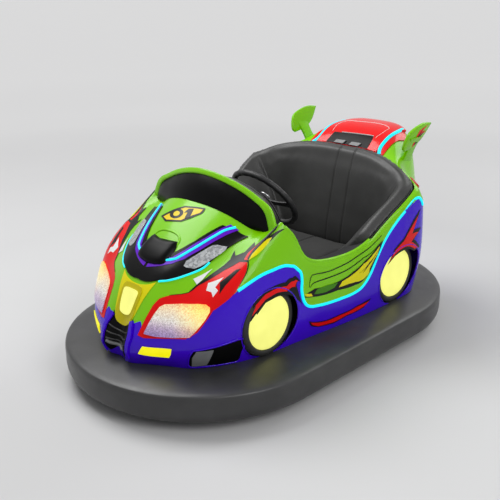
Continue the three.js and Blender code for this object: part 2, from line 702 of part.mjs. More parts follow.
// ---- steering wheel, column and pedal ------------------------------------------------------------
const steeringAxis = STEERING_AXIS.clone().normalize();
const towardsDriver = new THREE.Quaternion().setFromUnitVectors(V(0, 0, 1), steeringAxis);
function alongColumn(geometry, distance) {
  geometry.applyQuaternion(towardsDriver);
  const place = STEERING_CENTRE.clone().addScaledVector(steeringAxis, distance);
  geometry.translate(place.x, place.y, place.z);
  return toSolid(geometry);
}
const spokeLength = STEERING_RADIUS - 8;
const spokes = [0, 90, 180].map((degrees) => {
  const spoke = new THREE.BoxGeometry(spokeLength, 34, 7);
  spoke.translate(spokeLength / 2, 0, 0);
  spoke.rotateZ(THREE.MathUtils.degToRad(degrees));
  return alongColumn(spoke, -12);
});
const hub = new THREE.CylinderGeometry(42, 48, 34, 32);
hub.rotateX(Math.PI / 2);
piece('steering_wheel', union(
  alongColumn(new THREE.TorusGeometry(STEERING_RADIUS, STEERING_RIM, 10, 40), 0),
  alongColumn(hub, -14),
  ...spokes,
), 'plastic');

// ---- cockpit: tub, seat and pedal -----------------------------------------------------------------
const COCKPIT = { front: placeY(-335), rear: placeY(485), knee: 455, middle: placeY(60) };

// Points of the cockpit's wall at one column: the rim, the knee below it and the floor.
function rimPoint(v, inward, rise = 0) {
  const p = bodyPoint(v, 6);
  const outward = V(p.x, p.y - COCKPIT.middle, 0).normalize();
  return p.addScaledVector(outward, -inward).add(V(0, 0, rise));
}
function wallPoint(v, inward, z) {
  const p = rimPoint(v, inward);
  const half = TUB_HALF_WIDTH - inward;
  const x = THREE.MathUtils.clamp(p.x, -half, half);
  return V(x, THREE.MathUtils.clamp(p.y, COCKPIT.front + inward, COCKPIT.rear - inward), z);
}
const kneeZ = (v) => Math.min(COCKPIT.knee, bodyPoint(v, 6).z - 45);
const loop = (at) => Array.from({ length: SPAN * COLUMN_STEPS }, (_, k) => at(k / COLUMN_STEPS));
const RIM_INSET = 8;
const inside = RIM_INSET + TUB_WALL;
const tubRise = (v) => (v < 5.2 || v > SPAN - 5.2 ? -38 : -6);
const floorTop = FLOOR_Z + TUB_WALL + GAP;
const SEAT_BASE = { x: TUB_HALF_WIDTH - 40, y0: placeY(50), y1: placeY(430), top: 300, wall: 30 };
const benchZ = SEAT_BASE.top + GAP;
const RIM = 0;
const KNEE = 1;
const BENCH = 2;
const FLOOR = 3;

// The tub's outer face at one column: rim, knee, bench height and floor.
function tubPoint(v, row) {
  if (row === RIM) return rimPoint(v, RIM_INSET, tubRise(v));
  return wallPoint(v, RIM_INSET, [0, kneeZ(v), benchZ, FLOOR_Z][row]);
}
const tubCentre = (z) => V(0, (COCKPIT.front + COCKPIT.rear) / 2, z);

// The same point moved into the cockpit by an even wall, mitred where the wall bends.
function tubOffset(v, row, distance) {
  const here = tubPoint(v, row);
  const along = tubPoint(v + 1 / COLUMN_STEPS, row).sub(tubPoint(v - 1 / COLUMN_STEPS, row));
  const below = here.clone().sub(row === FLOOR ? tubCentre(FLOOR_Z) : tubPoint(v, row + 1));
  const faceBelow = below.cross(along).normalize();
  if (row === RIM) return here.addScaledVector(faceBelow, distance);
  const faceAbove = tubPoint(v, row - 1).sub(here).cross(along).normalize();
  const mitre = faceBelow.clone().add(faceAbove).divideScalar(1 + faceBelow.dot(faceAbove));
  return here.addScaledVector(mitre, distance);
}
function tubSolid(extra) {
  const outer = (row) => loop((v) => tubOffset(v, row, -extra));
  const inner = (row) => loop((v) => tubOffset(v, row, TUB_WALL + extra));
  const raised = (points) => points.map((p) => p.add(V(0, 0, extra)));
  return loft([
    raised(outer(RIM)), outer(KNEE), outer(BENCH), outer(FLOOR),
    loop(() => tubCentre(FLOOR_Z - extra)), loop(() => tubCentre(FLOOR_Z + TUB_WALL + extra)),
    inner(FLOOR), inner(BENCH), inner(KNEE), raised(inner(RIM)),
  ], true);
}
piece('cockpit_tub', tubSolid(0), 'plastic');
piece('dashboard', biggest(cowl.subtract(tubSolid(GAP))), 'plastic');

const shaft = new THREE.CylinderGeometry(COLUMN_RADIUS, COLUMN_RADIUS, COLUMN_LENGTH, 24);
shaft.rotateX(Math.PI / 2);
const columnTube = alongColumn(shaft, -31 - GAP - COLUMN_LENGTH / 2);
piece('steering_column', biggest(columnTube.subtract(tubSolid(GAP))), 'steel');

const baseHollow = box(
  -SEAT_BASE.x + SEAT_BASE.wall,
  SEAT_BASE.x - SEAT_BASE.wall,
  SEAT_BASE.y0 + SEAT_BASE.wall,
  SEAT_BASE.y1 - SEAT_BASE.wall,
  floorTop - 5,
  SEAT_BASE.top + 5,
);
const baseBlock = box(-SEAT_BASE.x, SEAT_BASE.x, SEAT_BASE.y0, SEAT_BASE.y1, floorTop, SEAT_BASE.top);
piece('seat_base', baseBlock.subtract(baseHollow), 'plastic');
const slack = SEAT_BASE.wall + 2;
const batteryBlock = box(
  -SEAT_BASE.x + slack,
  SEAT_BASE.x - slack,
  SEAT_BASE.y0 + slack,
  SEAT_BASE.y1 - slack,
  floorTop,
  SEAT_BASE.top - 8,
);
piece('battery_pack', batteryBlock, 'plastic');
const CUSHION = { x: TUB_HALF_WIDTH - 68, y0: placeY(30), y1: placeY(395) };
const cushionBlock = box(-CUSHION.x, CUSHION.x, CUSHION.y0, CUSHION.y1, benchZ, CUSHION_TOP);
piece('seat_cushion', cushionBlock, 'leather');

const SEAT_FRONT = 10; // column where the seat's arms end
const SEAT_DEPTH = 40;
const SEAT_CLEARANCE = 1; // loose upholstery inside the tub
const seatOuter = TUB_WALL + 2 * SEAT_CLEARANCE;
const seatRows = [];
for (let v = SEAT_FRONT; v <= SPAN - SEAT_FRONT; v += 0.5) {
  seatRows.push([
    tubOffset(v, RIM, seatOuter),
    rimPoint(v, inside + 6, 12),
    rimPoint(v, inside + 28, 24),
    rimPoint(v, inside + 58, 4),
    wallPoint(v, inside + SEAT_DEPTH, CUSHION_TOP + 40),
    wallPoint(v, inside + SEAT_DEPTH, benchZ),
    tubOffset(v, BENCH, seatOuter),
    tubOffset(v, KNEE, seatOuter),
  ]);
}
piece('seat_back', biggest(loft(seatRows, false).subtract(tubSolid(SEAT_CLEARANCE))), 'leather');

const PEDAL = { x: placeX(110), y: placeY(-300) };
piece('pedal', union(
  box(PEDAL.x - 40, PEDAL.x + 40, PEDAL.y, PEDAL.y + 90, floorTop, floorTop + 8),
  box(PEDAL.x - 35, PEDAL.x + 35, PEDAL.y - 8, PEDAL.y + 12, floorTop, floorTop + 60),
), 'steel');

// ---- engine cover, vent and wings --------------------------------------------------------------------
const COVER_HALF = 0.86;
const COVER_WALL = 12;
const coverBand = (low, high, thickness) => bandPlate(
  REAR - COVER_HALF, REAR + COVER_HALF, () => low, () => high, thickness, 6, 8,
);
const onDeck = (solid) => seatOnBody(solid, 11, SPAN - 11, 2, 6);
const VENT = { x: placeX(92), y0: placeY(590), y1: placeY(700), z0: 700, z1: 1000 };
const ventWindow = (play) => box(
  -VENT.x + play, VENT.x - play, VENT.y0 + play, VENT.y1 - play, VENT.z0, VENT.z1,
);
piece('engine_cover', onDeck(coverBand(3.05, 5.92, COVER_WALL)).subtract(ventWindow(0)), 'red');
piece('engine_vent', onDeck(coverBand(3.6, 5.9, COVER_WALL / 2)).intersect(ventWindow(GAP)), 'black');

const WING_THICKNESS = 14;
const wingRoot = place(331, 540, 838);
const wingLength = V(0.068, 0.891, 0.448).normalize();
const wingAcross = V(0.221, -0.452, 0.864).normalize();
const wingEdge = (...points) => points.map(([x, y]) => new THREE.Vector2(x, y));
const wingShape = new THREE.Shape();
wingShape.moveTo(5, -13);
wingShape.splineThru(wingEdge([-2, 9], [22, 45], [62, 65], [156, 46], [219, 6]));
wingShape.splineThru(wingEdge([148, -30], [81, -35], [5, -13]));
const wingCut = { depth: WING_THICKNESS, bevelEnabled: false, curveSegments: 20 };
const wingBlade = new THREE.ExtrudeGeometry(wingShape, wingCut);
wingBlade.translate(0, 0, -WING_THICKNESS / 2);
const wingFacing = wingLength.clone().cross(wingAcross);
wingBlade.applyMatrix4(new THREE.Matrix4().makeBasis(wingLength, wingAcross, wingFacing));
wingBlade.translate(wingRoot.x, wingRoot.y, wingRoot.z);
const strutLine = new THREE.LineCurve3(place(285, 640, 765), place(345, 610, 888));
const strut = new THREE.ExtrudeGeometry(rectangle(35, 9), { steps: 1, extrudePath: strutLine });
seatedPair('wing', union(toSolid(wingBlade), toSolid(strut)), onDeck, 'green');

const group = new THREE.Group();
for (const mesh of pieces) group.add(mesh);
export default group;
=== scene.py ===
"""Two-seat fairground bumper car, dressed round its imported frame.

Metres. X is the car's left, -Y its front and Z up; the origin is on the floor below the
middle of the rubber ring.
"""

import json
import logging
import math
from collections.abc import Callable, Sequence
from dataclasses import dataclass, field
from enum import Enum

import bmesh
import bpy
import numpy as np
from mathutils import Matrix, Vector

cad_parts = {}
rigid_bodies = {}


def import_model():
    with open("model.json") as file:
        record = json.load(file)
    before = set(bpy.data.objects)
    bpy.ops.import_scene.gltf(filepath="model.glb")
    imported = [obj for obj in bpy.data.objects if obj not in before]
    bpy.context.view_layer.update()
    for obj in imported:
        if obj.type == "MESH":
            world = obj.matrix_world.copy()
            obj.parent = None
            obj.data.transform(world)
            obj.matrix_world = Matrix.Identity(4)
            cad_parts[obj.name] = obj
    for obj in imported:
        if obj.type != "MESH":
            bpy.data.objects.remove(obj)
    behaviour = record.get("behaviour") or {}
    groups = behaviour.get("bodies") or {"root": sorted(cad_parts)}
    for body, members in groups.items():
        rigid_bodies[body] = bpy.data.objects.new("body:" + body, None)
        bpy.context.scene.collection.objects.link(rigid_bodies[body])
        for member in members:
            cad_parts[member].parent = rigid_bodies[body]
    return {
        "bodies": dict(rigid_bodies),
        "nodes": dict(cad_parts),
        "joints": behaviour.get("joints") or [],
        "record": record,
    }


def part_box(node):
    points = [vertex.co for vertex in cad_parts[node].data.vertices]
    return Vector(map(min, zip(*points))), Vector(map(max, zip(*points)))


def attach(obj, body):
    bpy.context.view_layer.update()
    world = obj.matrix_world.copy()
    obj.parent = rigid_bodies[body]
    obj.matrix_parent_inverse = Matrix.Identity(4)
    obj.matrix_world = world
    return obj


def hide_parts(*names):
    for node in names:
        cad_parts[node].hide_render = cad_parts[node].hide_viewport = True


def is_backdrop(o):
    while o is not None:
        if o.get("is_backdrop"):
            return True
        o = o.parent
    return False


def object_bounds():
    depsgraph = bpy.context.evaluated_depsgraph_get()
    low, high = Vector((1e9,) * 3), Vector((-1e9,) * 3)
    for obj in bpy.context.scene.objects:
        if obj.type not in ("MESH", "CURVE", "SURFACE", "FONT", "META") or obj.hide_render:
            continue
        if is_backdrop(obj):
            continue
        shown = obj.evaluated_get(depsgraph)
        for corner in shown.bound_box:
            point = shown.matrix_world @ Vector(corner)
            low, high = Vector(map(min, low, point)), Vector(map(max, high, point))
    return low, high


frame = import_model()

LOG = logging.getLogger("bumper_car")
Point = tuple[float, float, float]
Outline = Sequence[tuple[float, float]]
Array = np.ndarray
Piece = bpy.types.Object
Material = bpy.types.Material
Socket = bpy.types.NodeSocket


# ---- finishes -------------------------------------------------------------------------
class Paint(Enum):
    """Named colours as (red, green, blue) in display values from 0 to 255."""

    LIME = (124, 200, 2)
    BLUE = (60, 2, 205)
    RED = (226, 2, 4)
    YELLOW = (226, 216, 4)
    BLACK = (6, 6, 7)
    WHITE = (232, 232, 232)
    CYAN = (0, 236, 255)
    PURPLE = (98, 0, 196)
    FOG = (255, 246, 8)
    PALE_LAMP = (255, 255, 138)
    DARK_GREEN = (62, 128, 4)
    MUSTARD = (196, 184, 16)
    BADGE = (236, 204, 24)

    def slot(self) -> str:
        """The record's slot for film of this colour."""
        return {
            Paint.RED: "red_gelcoat",
            Paint.BLACK: "black_gloss",
            Paint.PURPLE: "black_gloss",
            Paint.MUSTARD: "lamp",
        }.get(self, "green_gelcoat")

    def linear(self) -> tuple[float, float, float, float]:
        """The colour in scene values with full opacity."""
        parts = [c / 255 for c in self.value]
        made = [c / 12.92 if c <= 0.04045 else ((c + 0.055) / 1.055) ** 2.4 for c in parts]
        return (made[0], made[1], made[2], 1.0)


class NodeSheet:
    """A small writer for one material's node tree."""

    def __init__(self, name: str) -> None:
        """Starts a material.

        Args:
            name: the material's name.
        """
        self.material = bpy.data.materials.new(name)
        self.material.use_nodes = True
        self.tree = self.material.node_tree
        self.shader = self.tree.nodes["Principled BSDF"]

    def add(self, kind: str, **values: object) -> bpy.types.Node:
        """Adds a node and sets its properties.

        Args:
            kind: the node's type name.
            values: properties of the node, by name.

        Returns:
            The new node.
        """
        node = self.tree.nodes.new(kind)
        for key, value in values.items():
            setattr(node, key, value)
        return node

    def link(self, source: Socket, target: Socket) -> None:
        """Joins two sockets."""
        self.tree.links.new(source, target)

    def noise(self, scale: float, detail: float = 2.0, stretch: Point = (1, 1, 1)) -> Socket:
        """Noise over the piece's own place.

        Args:
            scale: how fine the noise is.
            detail: how many octaves it has.
            stretch: its scale along each axis.

        Returns:
            The noise's value socket.
        """
        place = self.add("ShaderNodeTexCoord")
        turned = self.add("ShaderNodeMapping")
        turned.inputs["Scale"].default_value = stretch
        self.link(place.outputs["Object"], turned.inputs["Vector"])
        cloud = self.add("ShaderNodeTexNoise")
        cloud.inputs["Scale"].default_value = scale
        cloud.inputs["Detail"].default_value = detail
        self.link(turned.outputs["Vector"], cloud.inputs["Vector"])
        return cloud.outputs["Fac"]

    def ramp(self, factor: Socket, stops: Sequence[tuple[float, Sequence[float]]]) -> Socket:
        """A colour ramp.

        Args:
            factor: what drives it.
            stops: places from 0 to 1, each with a colour.

        Returns:
            The ramp's colour socket.
        """
        node = self.add("ShaderNodeValToRGB")
        band = node.color_ramp
        band.elements[0].position = stops[0][0]
        band.elements[0].color = stops[0][1]
        band.elements[1].position = stops[-1][0]
        band.elements[1].color = stops[-1][1]
        for place, colour in stops[1:-1]:
            band.elements.new(place).color = colour
        self.link(factor, node.inputs["Fac"])
        return node.outputs["Color"]

    def span(self, factor: Socket, low: float, high: float) -> Socket:
        """Maps a 0 to 1 value to low..high.

        Returns:
            The result socket.
        """
        node = self.add("ShaderNodeMapRange")
        node.inputs["To Min"].default_value = low
        node.inputs["To Max"].default_value = high
        self.link(factor, node.inputs["Value"])
        return node.outputs["Result"]

    def bump(self, height: Socket, strength: float, distance: float) -> None:
        """Adds relief to the shader's normal."""
        node = self.add("ShaderNodeBump")
        node.inputs["Strength"].default_value = strength
        node.inputs["Distance"].default_value = distance
        self.link(height, node.inputs["Height"])
        if self.shader.inputs["Normal"].is_linked:
            before = self.shader.inputs["Normal"].links[0].from_socket
            self.link(before, node.inputs["Normal"])
        self.link(node.outputs["Normal"], self.shader.inputs["Normal"])

    def paint(self, factor: Socket, stops: Sequence[tuple[float, Sequence[float]]]) -> None:
        """Colours the surface by a ramp."""
        self.link(self.ramp(factor, stops), self.shader.inputs["Base Color"])

    def dull(self, factor: Socket, low: float, high: float) -> None:
        """Spreads the roughness between two values."""
        self.link(self.span(factor, low, high), self.shader.inputs["Roughness"])

    def cells(self, scale: float, feature: str = "F1") -> bpy.types.Node:
        """Pebbles over the piece's own place."""
        place = self.add("ShaderNodeTexCoord")
        node = self.add("ShaderNodeTexVoronoi", feature=feature)
        node.inputs["Scale"].default_value = scale
        self.link(place.outputs["Object"], node.inputs["Vector"])
        return node

    def set(self, **values: float) -> None:
        """Sets the shader's own sockets; an underscore stands for a space."""
        for key, value in values.items():
            self.shader.inputs[key.replace("_", " ")].default_value = value


def shade(colour: Sequence[float], factor: float) -> tuple[float, float, float, float]:
    """A colour made lighter or darker by a factor."""
    return (
        min(colour[0] * factor, 1.0),
        min(colour[1] * factor, 1.0),
        min(colour[2] * factor, 1.0),
        1.0,
    )


@dataclass(frozen=True)
class Gelcoat:
    """Moulded body finish: deep colour under a clear gloss with faint orange peel."""

    name: str
    paint: Paint
    roughness: float = 0.22
    peel: float = 0.04

    def make(self) -> Material:
        """Builds the material."""
        sheet = NodeSheet(self.name)
        base = self.paint.linear()
        sheet.paint(sheet.noise(3.0, 3.0), [(0.3, shade(base, 0.94)), (0.7, shade(base, 1.05))])
        sheet.dull(sheet.noise(40.0, 4.0), self.roughness - 0.04, self.roughness + 0.06)
        sheet.bump(sheet.noise(260.0, 1.0), self.peel, 0.0006)
        sheet.set(Coat_Weight=0.16, Coat_Roughness=0.05, Specular_IOR_Level=0.2)
        return sheet.material


@dataclass(frozen=True)
class Vinyl:
    """Printed film laid on the body: even colour, slightly softer gloss, fine print grain."""

    name: str
    paint: Paint
    roughness: float = 0.3

    def make(self) -> Material:
        """Builds the material."""
        sheet = NodeSheet(self.name)
        base = self.paint.linear()
        grain = sheet.noise(900.0, 1.0)
        sheet.paint(grain, [(0.35, shade(base, 0.93)), (0.65, shade(base, 1.04))])
        sheet.dull(sheet.noise(60.0), self.roughness - 0.05, self.roughness + 0.05)
        sheet.set(Coat_Weight=0.06, Coat_Roughness=0.08, Specular_IOR_Level=0.18)
        return sheet.material


@dataclass(frozen=True)
class Rubber:
    """Moulded rubber: near-black with a dull sheen, mould grain and light scuffs."""

    name: str
    tone: float = 0.03
    roughness: float = 0.42
    scuffs: bool = True

    def make(self) -> Material:
        """Builds the material."""
        sheet = NodeSheet(self.name)
        low = (self.tone * 0.8, self.tone * 0.8, self.tone * 0.82, 1)
        high = (self.tone * 1.3, self.tone * 1.3, self.tone * 1.32, 1)
        sheet.paint(sheet.noise(7.0, 6.0), [(0.35, low), (0.7, high)])
        worn = sheet.noise(16.0, 8.0, (1, 1, 2.5))
        sheet.dull(worn, self.roughness - 0.1, self.roughness + 0.14)
        sheet.bump(sheet.noise(700.0, 2.0), 0.12, 0.0005)
        if self.scuffs:
            sheet.bump(sheet.noise(22.0, 6.0, (1, 1, 4)), 0.05, 0.002)
        sheet.set(Specular_IOR_Level=0.45, Sheen_Weight=0.03)
        return sheet.material


@dataclass(frozen=True)
class Leathercloth:
    """Coated seat cloth: pebbled grain over soft creases, satin sheen."""

    name: str
    tone: float = 0.028

    def make(self) -> Material:
        """Builds the material."""
        sheet = NodeSheet(self.name)
        low = (self.tone * 0.85, self.tone * 0.85, self.tone * 0.82, 1)
        high = (self.tone * 1.25, self.tone * 1.25, self.tone * 1.2, 1)
        sheet.paint(sheet.noise(9.0, 5.0), [(0.35, low), (0.7, high)])
        sheet.bump(sheet.cells(420.0, "DISTANCE_TO_EDGE").outputs["Distance"], 0.16, 0.0008)
        sheet.bump(sheet.noise(14.0, 4.0), 0.12, 0.006)
        sheet.dull(sheet.noise(30.0, 4.0), 0.38, 0.52)
        sheet.set(Specular_IOR_Level=0.45, Sheen_Weight=0.08, Sheen_Roughness=0.4)
        return sheet.material


@dataclass(frozen=True)
class Plastic:
    """Moulded plastic, grained or polished."""

    name: str
    colour: tuple[float, float, float] = (0.02, 0.02, 0.022)
    roughness: float = 0.5
    grain: float = 0.15
    coat: float = 0.0
    gloss: float = 0.4

    def make(self) -> Material:
        """Builds the material."""
        sheet = NodeSheet(self.name)
        base = (*self.colour, 1.0)
        sheet.paint(sheet.noise(12.0, 4.0), [(0.35, shade(base, 0.85)), (0.7, shade(base, 1.15))])
        sheet.dull(sheet.noise(45.0, 4.0), self.roughness - 0.05, self.roughness + 0.08)
        sheet.bump(sheet.noise(650.0, 2.0), self.grain, 0.0005)
        sheet.set(Coat_Weight=self.coat, Coat_Roughness=0.06, Specular_IOR_Level=self.gloss)
        return sheet.material


@dataclass(frozen=True)
class Steel:
    """Galvanised or brushed steel with a spangle and dull patches."""

    name: str
    tone: float = 0.42
    roughness: float = 0.45

    def make(self) -> Material:
        """Builds the material."""
        sheet = NodeSheet(self.name)
        low = (self.tone * 0.75, self.tone * 0.76, self.tone * 0.78, 1)
        high = (self.tone * 1.2, self.tone * 1.21, self.tone * 1.23, 1)
        sheet.paint(sheet.cells(60.0).outputs["Distance"], [(0.1, low), (0.8, high)])
        sheet.dull(sheet.noise(25.0, 5.0), self.roughness - 0.1, self.roughness + 0.15)
        sheet.bump(sheet.noise(180.0, 3.0), 0.06, 0.0006)
        sheet.set(Metallic=0.9)
        return sheet.material


@dataclass(frozen=True)
class Glow:
    """A lit diffuser: its colour glows evenly, a little weaker where the moulding is thick."""

    name: str
    paint: Paint
    strength: float = 0.85
    ripple: float = 30.0

    def make(self) -> Material:
        """Builds the material."""
        sheet = NodeSheet(self.name)
        base = self.paint.linear()
        cloud = sheet.noise(self.ripple, 2.0)
        tint = sheet.ramp(cloud, [(0.3, shade(base, 0.93)), (0.7, base)])
        sheet.link(tint, sheet.shader.inputs["Emission Color"])
        sheet.paint(cloud, [(0.3, shade(base, 0.25)), (0.7, shade(base, 0.3))])
        sheet.set(Emission_Strength=self.strength, Roughness=0.35, Specular_IOR_Level=0.3)
        return sheet.material


class LampLens:
    """The headlamp's clear pebbled lens: warm light at its upper edge, violet shade below."""

    def make(self) -> Material:
        """Builds the material."""
        sheet = NodeSheet("headlamp_lens")
        place = sheet.add("ShaderNodeAttribute", attribute_name="lamp_place", attribute_type="GEOMETRY")
        parts = sheet.add("ShaderNodeSeparateXYZ")
        sheet.link(place.outputs["Vector"], parts.inputs["Vector"])
        rise = sheet.ramp(
            parts.outputs["Y"],
            [
                (0.0, (0.20, 0.13, 0.34, 1)),
                (0.25, (0.36, 0.27, 0.40, 1)),
                (0.5, (0.60, 0.56, 0.50, 1)),
                (0.78, (0.72, 0.55, 0.33, 1)),
                (1.0, (0.70, 0.33, 0.12, 1)),
            ],
        )
        warm = sheet.ramp(parts.outputs["X"], [(0.45, (0.5, 0.5, 0.5, 1)), (0.85, (0.95, 0.72, 0.2, 1))])
        mix = sheet.add("ShaderNodeMix", data_type="RGBA", blend_type="OVERLAY")
        mix.inputs[0].default_value = 0.75
        sheet.link(rise, mix.inputs[6])
        sheet.link(warm, mix.inputs[7])
        pebbles = sheet.cells(260.0)
        grain = sheet.add("ShaderNodeMix", data_type="RGBA", blend_type="OVERLAY")
        grain.inputs[0].default_value = 0.55
        sheet.link(mix.outputs[2], grain.inputs[6])
        sheet.link(
            sheet.ramp(pebbles.outputs["Color"], [(0.2, (0.25, 0.25, 0.25, 1)), (0.8, (0.8, 0.8, 0.8, 1))]),
            grain.inputs[7],
        )
        sheet.link(grain.outputs[2], sheet.shader.inputs["Base Color"])
        sheet.link(grain.outputs[2], sheet.shader.inputs["Emission Color"])
        sheet.bump(pebbles.outputs["Distance"], 0.35, 0.001)
        sheet.set(Emission_Strength=0.42, Roughness=0.16, Coat_Weight=0.8, Coat_Roughness=0.03)
        return sheet.material


@dataclass(frozen=True)
class SilverLens:
    """A clear pebbled cover over a silvered reflector."""

    name: str
    dark: Point = (0.25, 0.26, 0.27)
    pale: Point = (0.5, 0.52, 0.53)
    pebble: float = 130.0

    def make(self) -> Material:
        """Builds the material."""
        sheet = NodeSheet(self.name)
        pebbles = sheet.cells(self.pebble)
        sheet.paint(pebbles.outputs["Color"], [(0.25, (*self.dark, 1)), (0.75, (*self.pale, 1))])
        sheet.bump(pebbles.outputs["Distance"], 0.4, 0.001)
        sheet.set(Roughness=0.2, Metallic=0.25, Coat_Weight=0.5, Coat_Roughness=0.05)
        return sheet.material


class Finishes:
    """All finishes of the car, each built once."""

    def __init__(self) -> None:
        """Builds every material."""
        self.slots: dict[str, str] = {}
        self.green = self.keep(Gelcoat("lime_gelcoat", Paint.LIME), "green_gelcoat")
        self.blue = self.keep(Gelcoat("blue_gelcoat", Paint.BLUE, 0.18), "blue_gelcoat")
        self.red = self.keep(Gelcoat("red_gelcoat", Paint.RED, 0.16), "red_gelcoat")
        self.ring = self.keep(Rubber("ring_rubber", 0.034, 0.36), "rubber")
        self.tyre = self.keep(Rubber("tyre_rubber", 0.016, 0.6, False), "tyre")
        self.seat = self.keep(Leathercloth("seat_leathercloth"), "leather")
        self.screen = self.keep(
            Plastic("smoked_screen", (0.001, 0.001, 0.0012), 0.3, 0.0, 0.0, 0.1), "black_gloss",
        )
        self.mask = self.keep(
            Plastic("mask_gloss", (0.0012, 0.0012, 0.0014), 0.22, 0.02, 0.03, 0.12), "black_gloss",
        )
        self.plastic = self.keep(Plastic("grained_plastic", (0.016, 0.016, 0.017), 0.45), "plastic")
        self.cowl = self.keep(Plastic("cowl_plastic", (0.012, 0.012, 0.013), 0.3, 0.06, 0.3), "plastic")
        self.grey = self.keep(Plastic("grey_plastic", (0.18, 0.185, 0.19), 0.4, 0.1), "plastic")
        self.inset = self.keep(SilverLens("inset_lens"), "lens")
        self.steel = self.keep(Steel("galvanised_steel"), "galvanised")
        self.bright = self.keep(Steel("bright_steel", 0.6, 0.25), "galvanised")
        self.cyan = self.keep(Glow("light_strip", Paint.CYAN, 0.95), "lens")
        self.disc = self.keep(Glow("wheel_lamp", Paint.PALE_LAMP, 0.8, 18.0), "lamp")
        self.fog = self.keep(Glow("fog_lamp", Paint.FOG, 0.8), "lamp")
        self.tail = self.keep(Glow("tail_lamp", Paint.RED, 0.35), "red_gelcoat")
        self.lens = self.keep(LampLens(), "lens")
        self.vinyl = {
            paint: self.keep(Vinyl(f"vinyl_{paint.name.lower()}", paint), paint.slot()) for paint in Paint
        }

    def keep(self, finish: object, slot: str) -> Material:
        """Builds one finish and notes its slot."""
        material = finish.make()
        self.slots[material.name] = slot
        return material


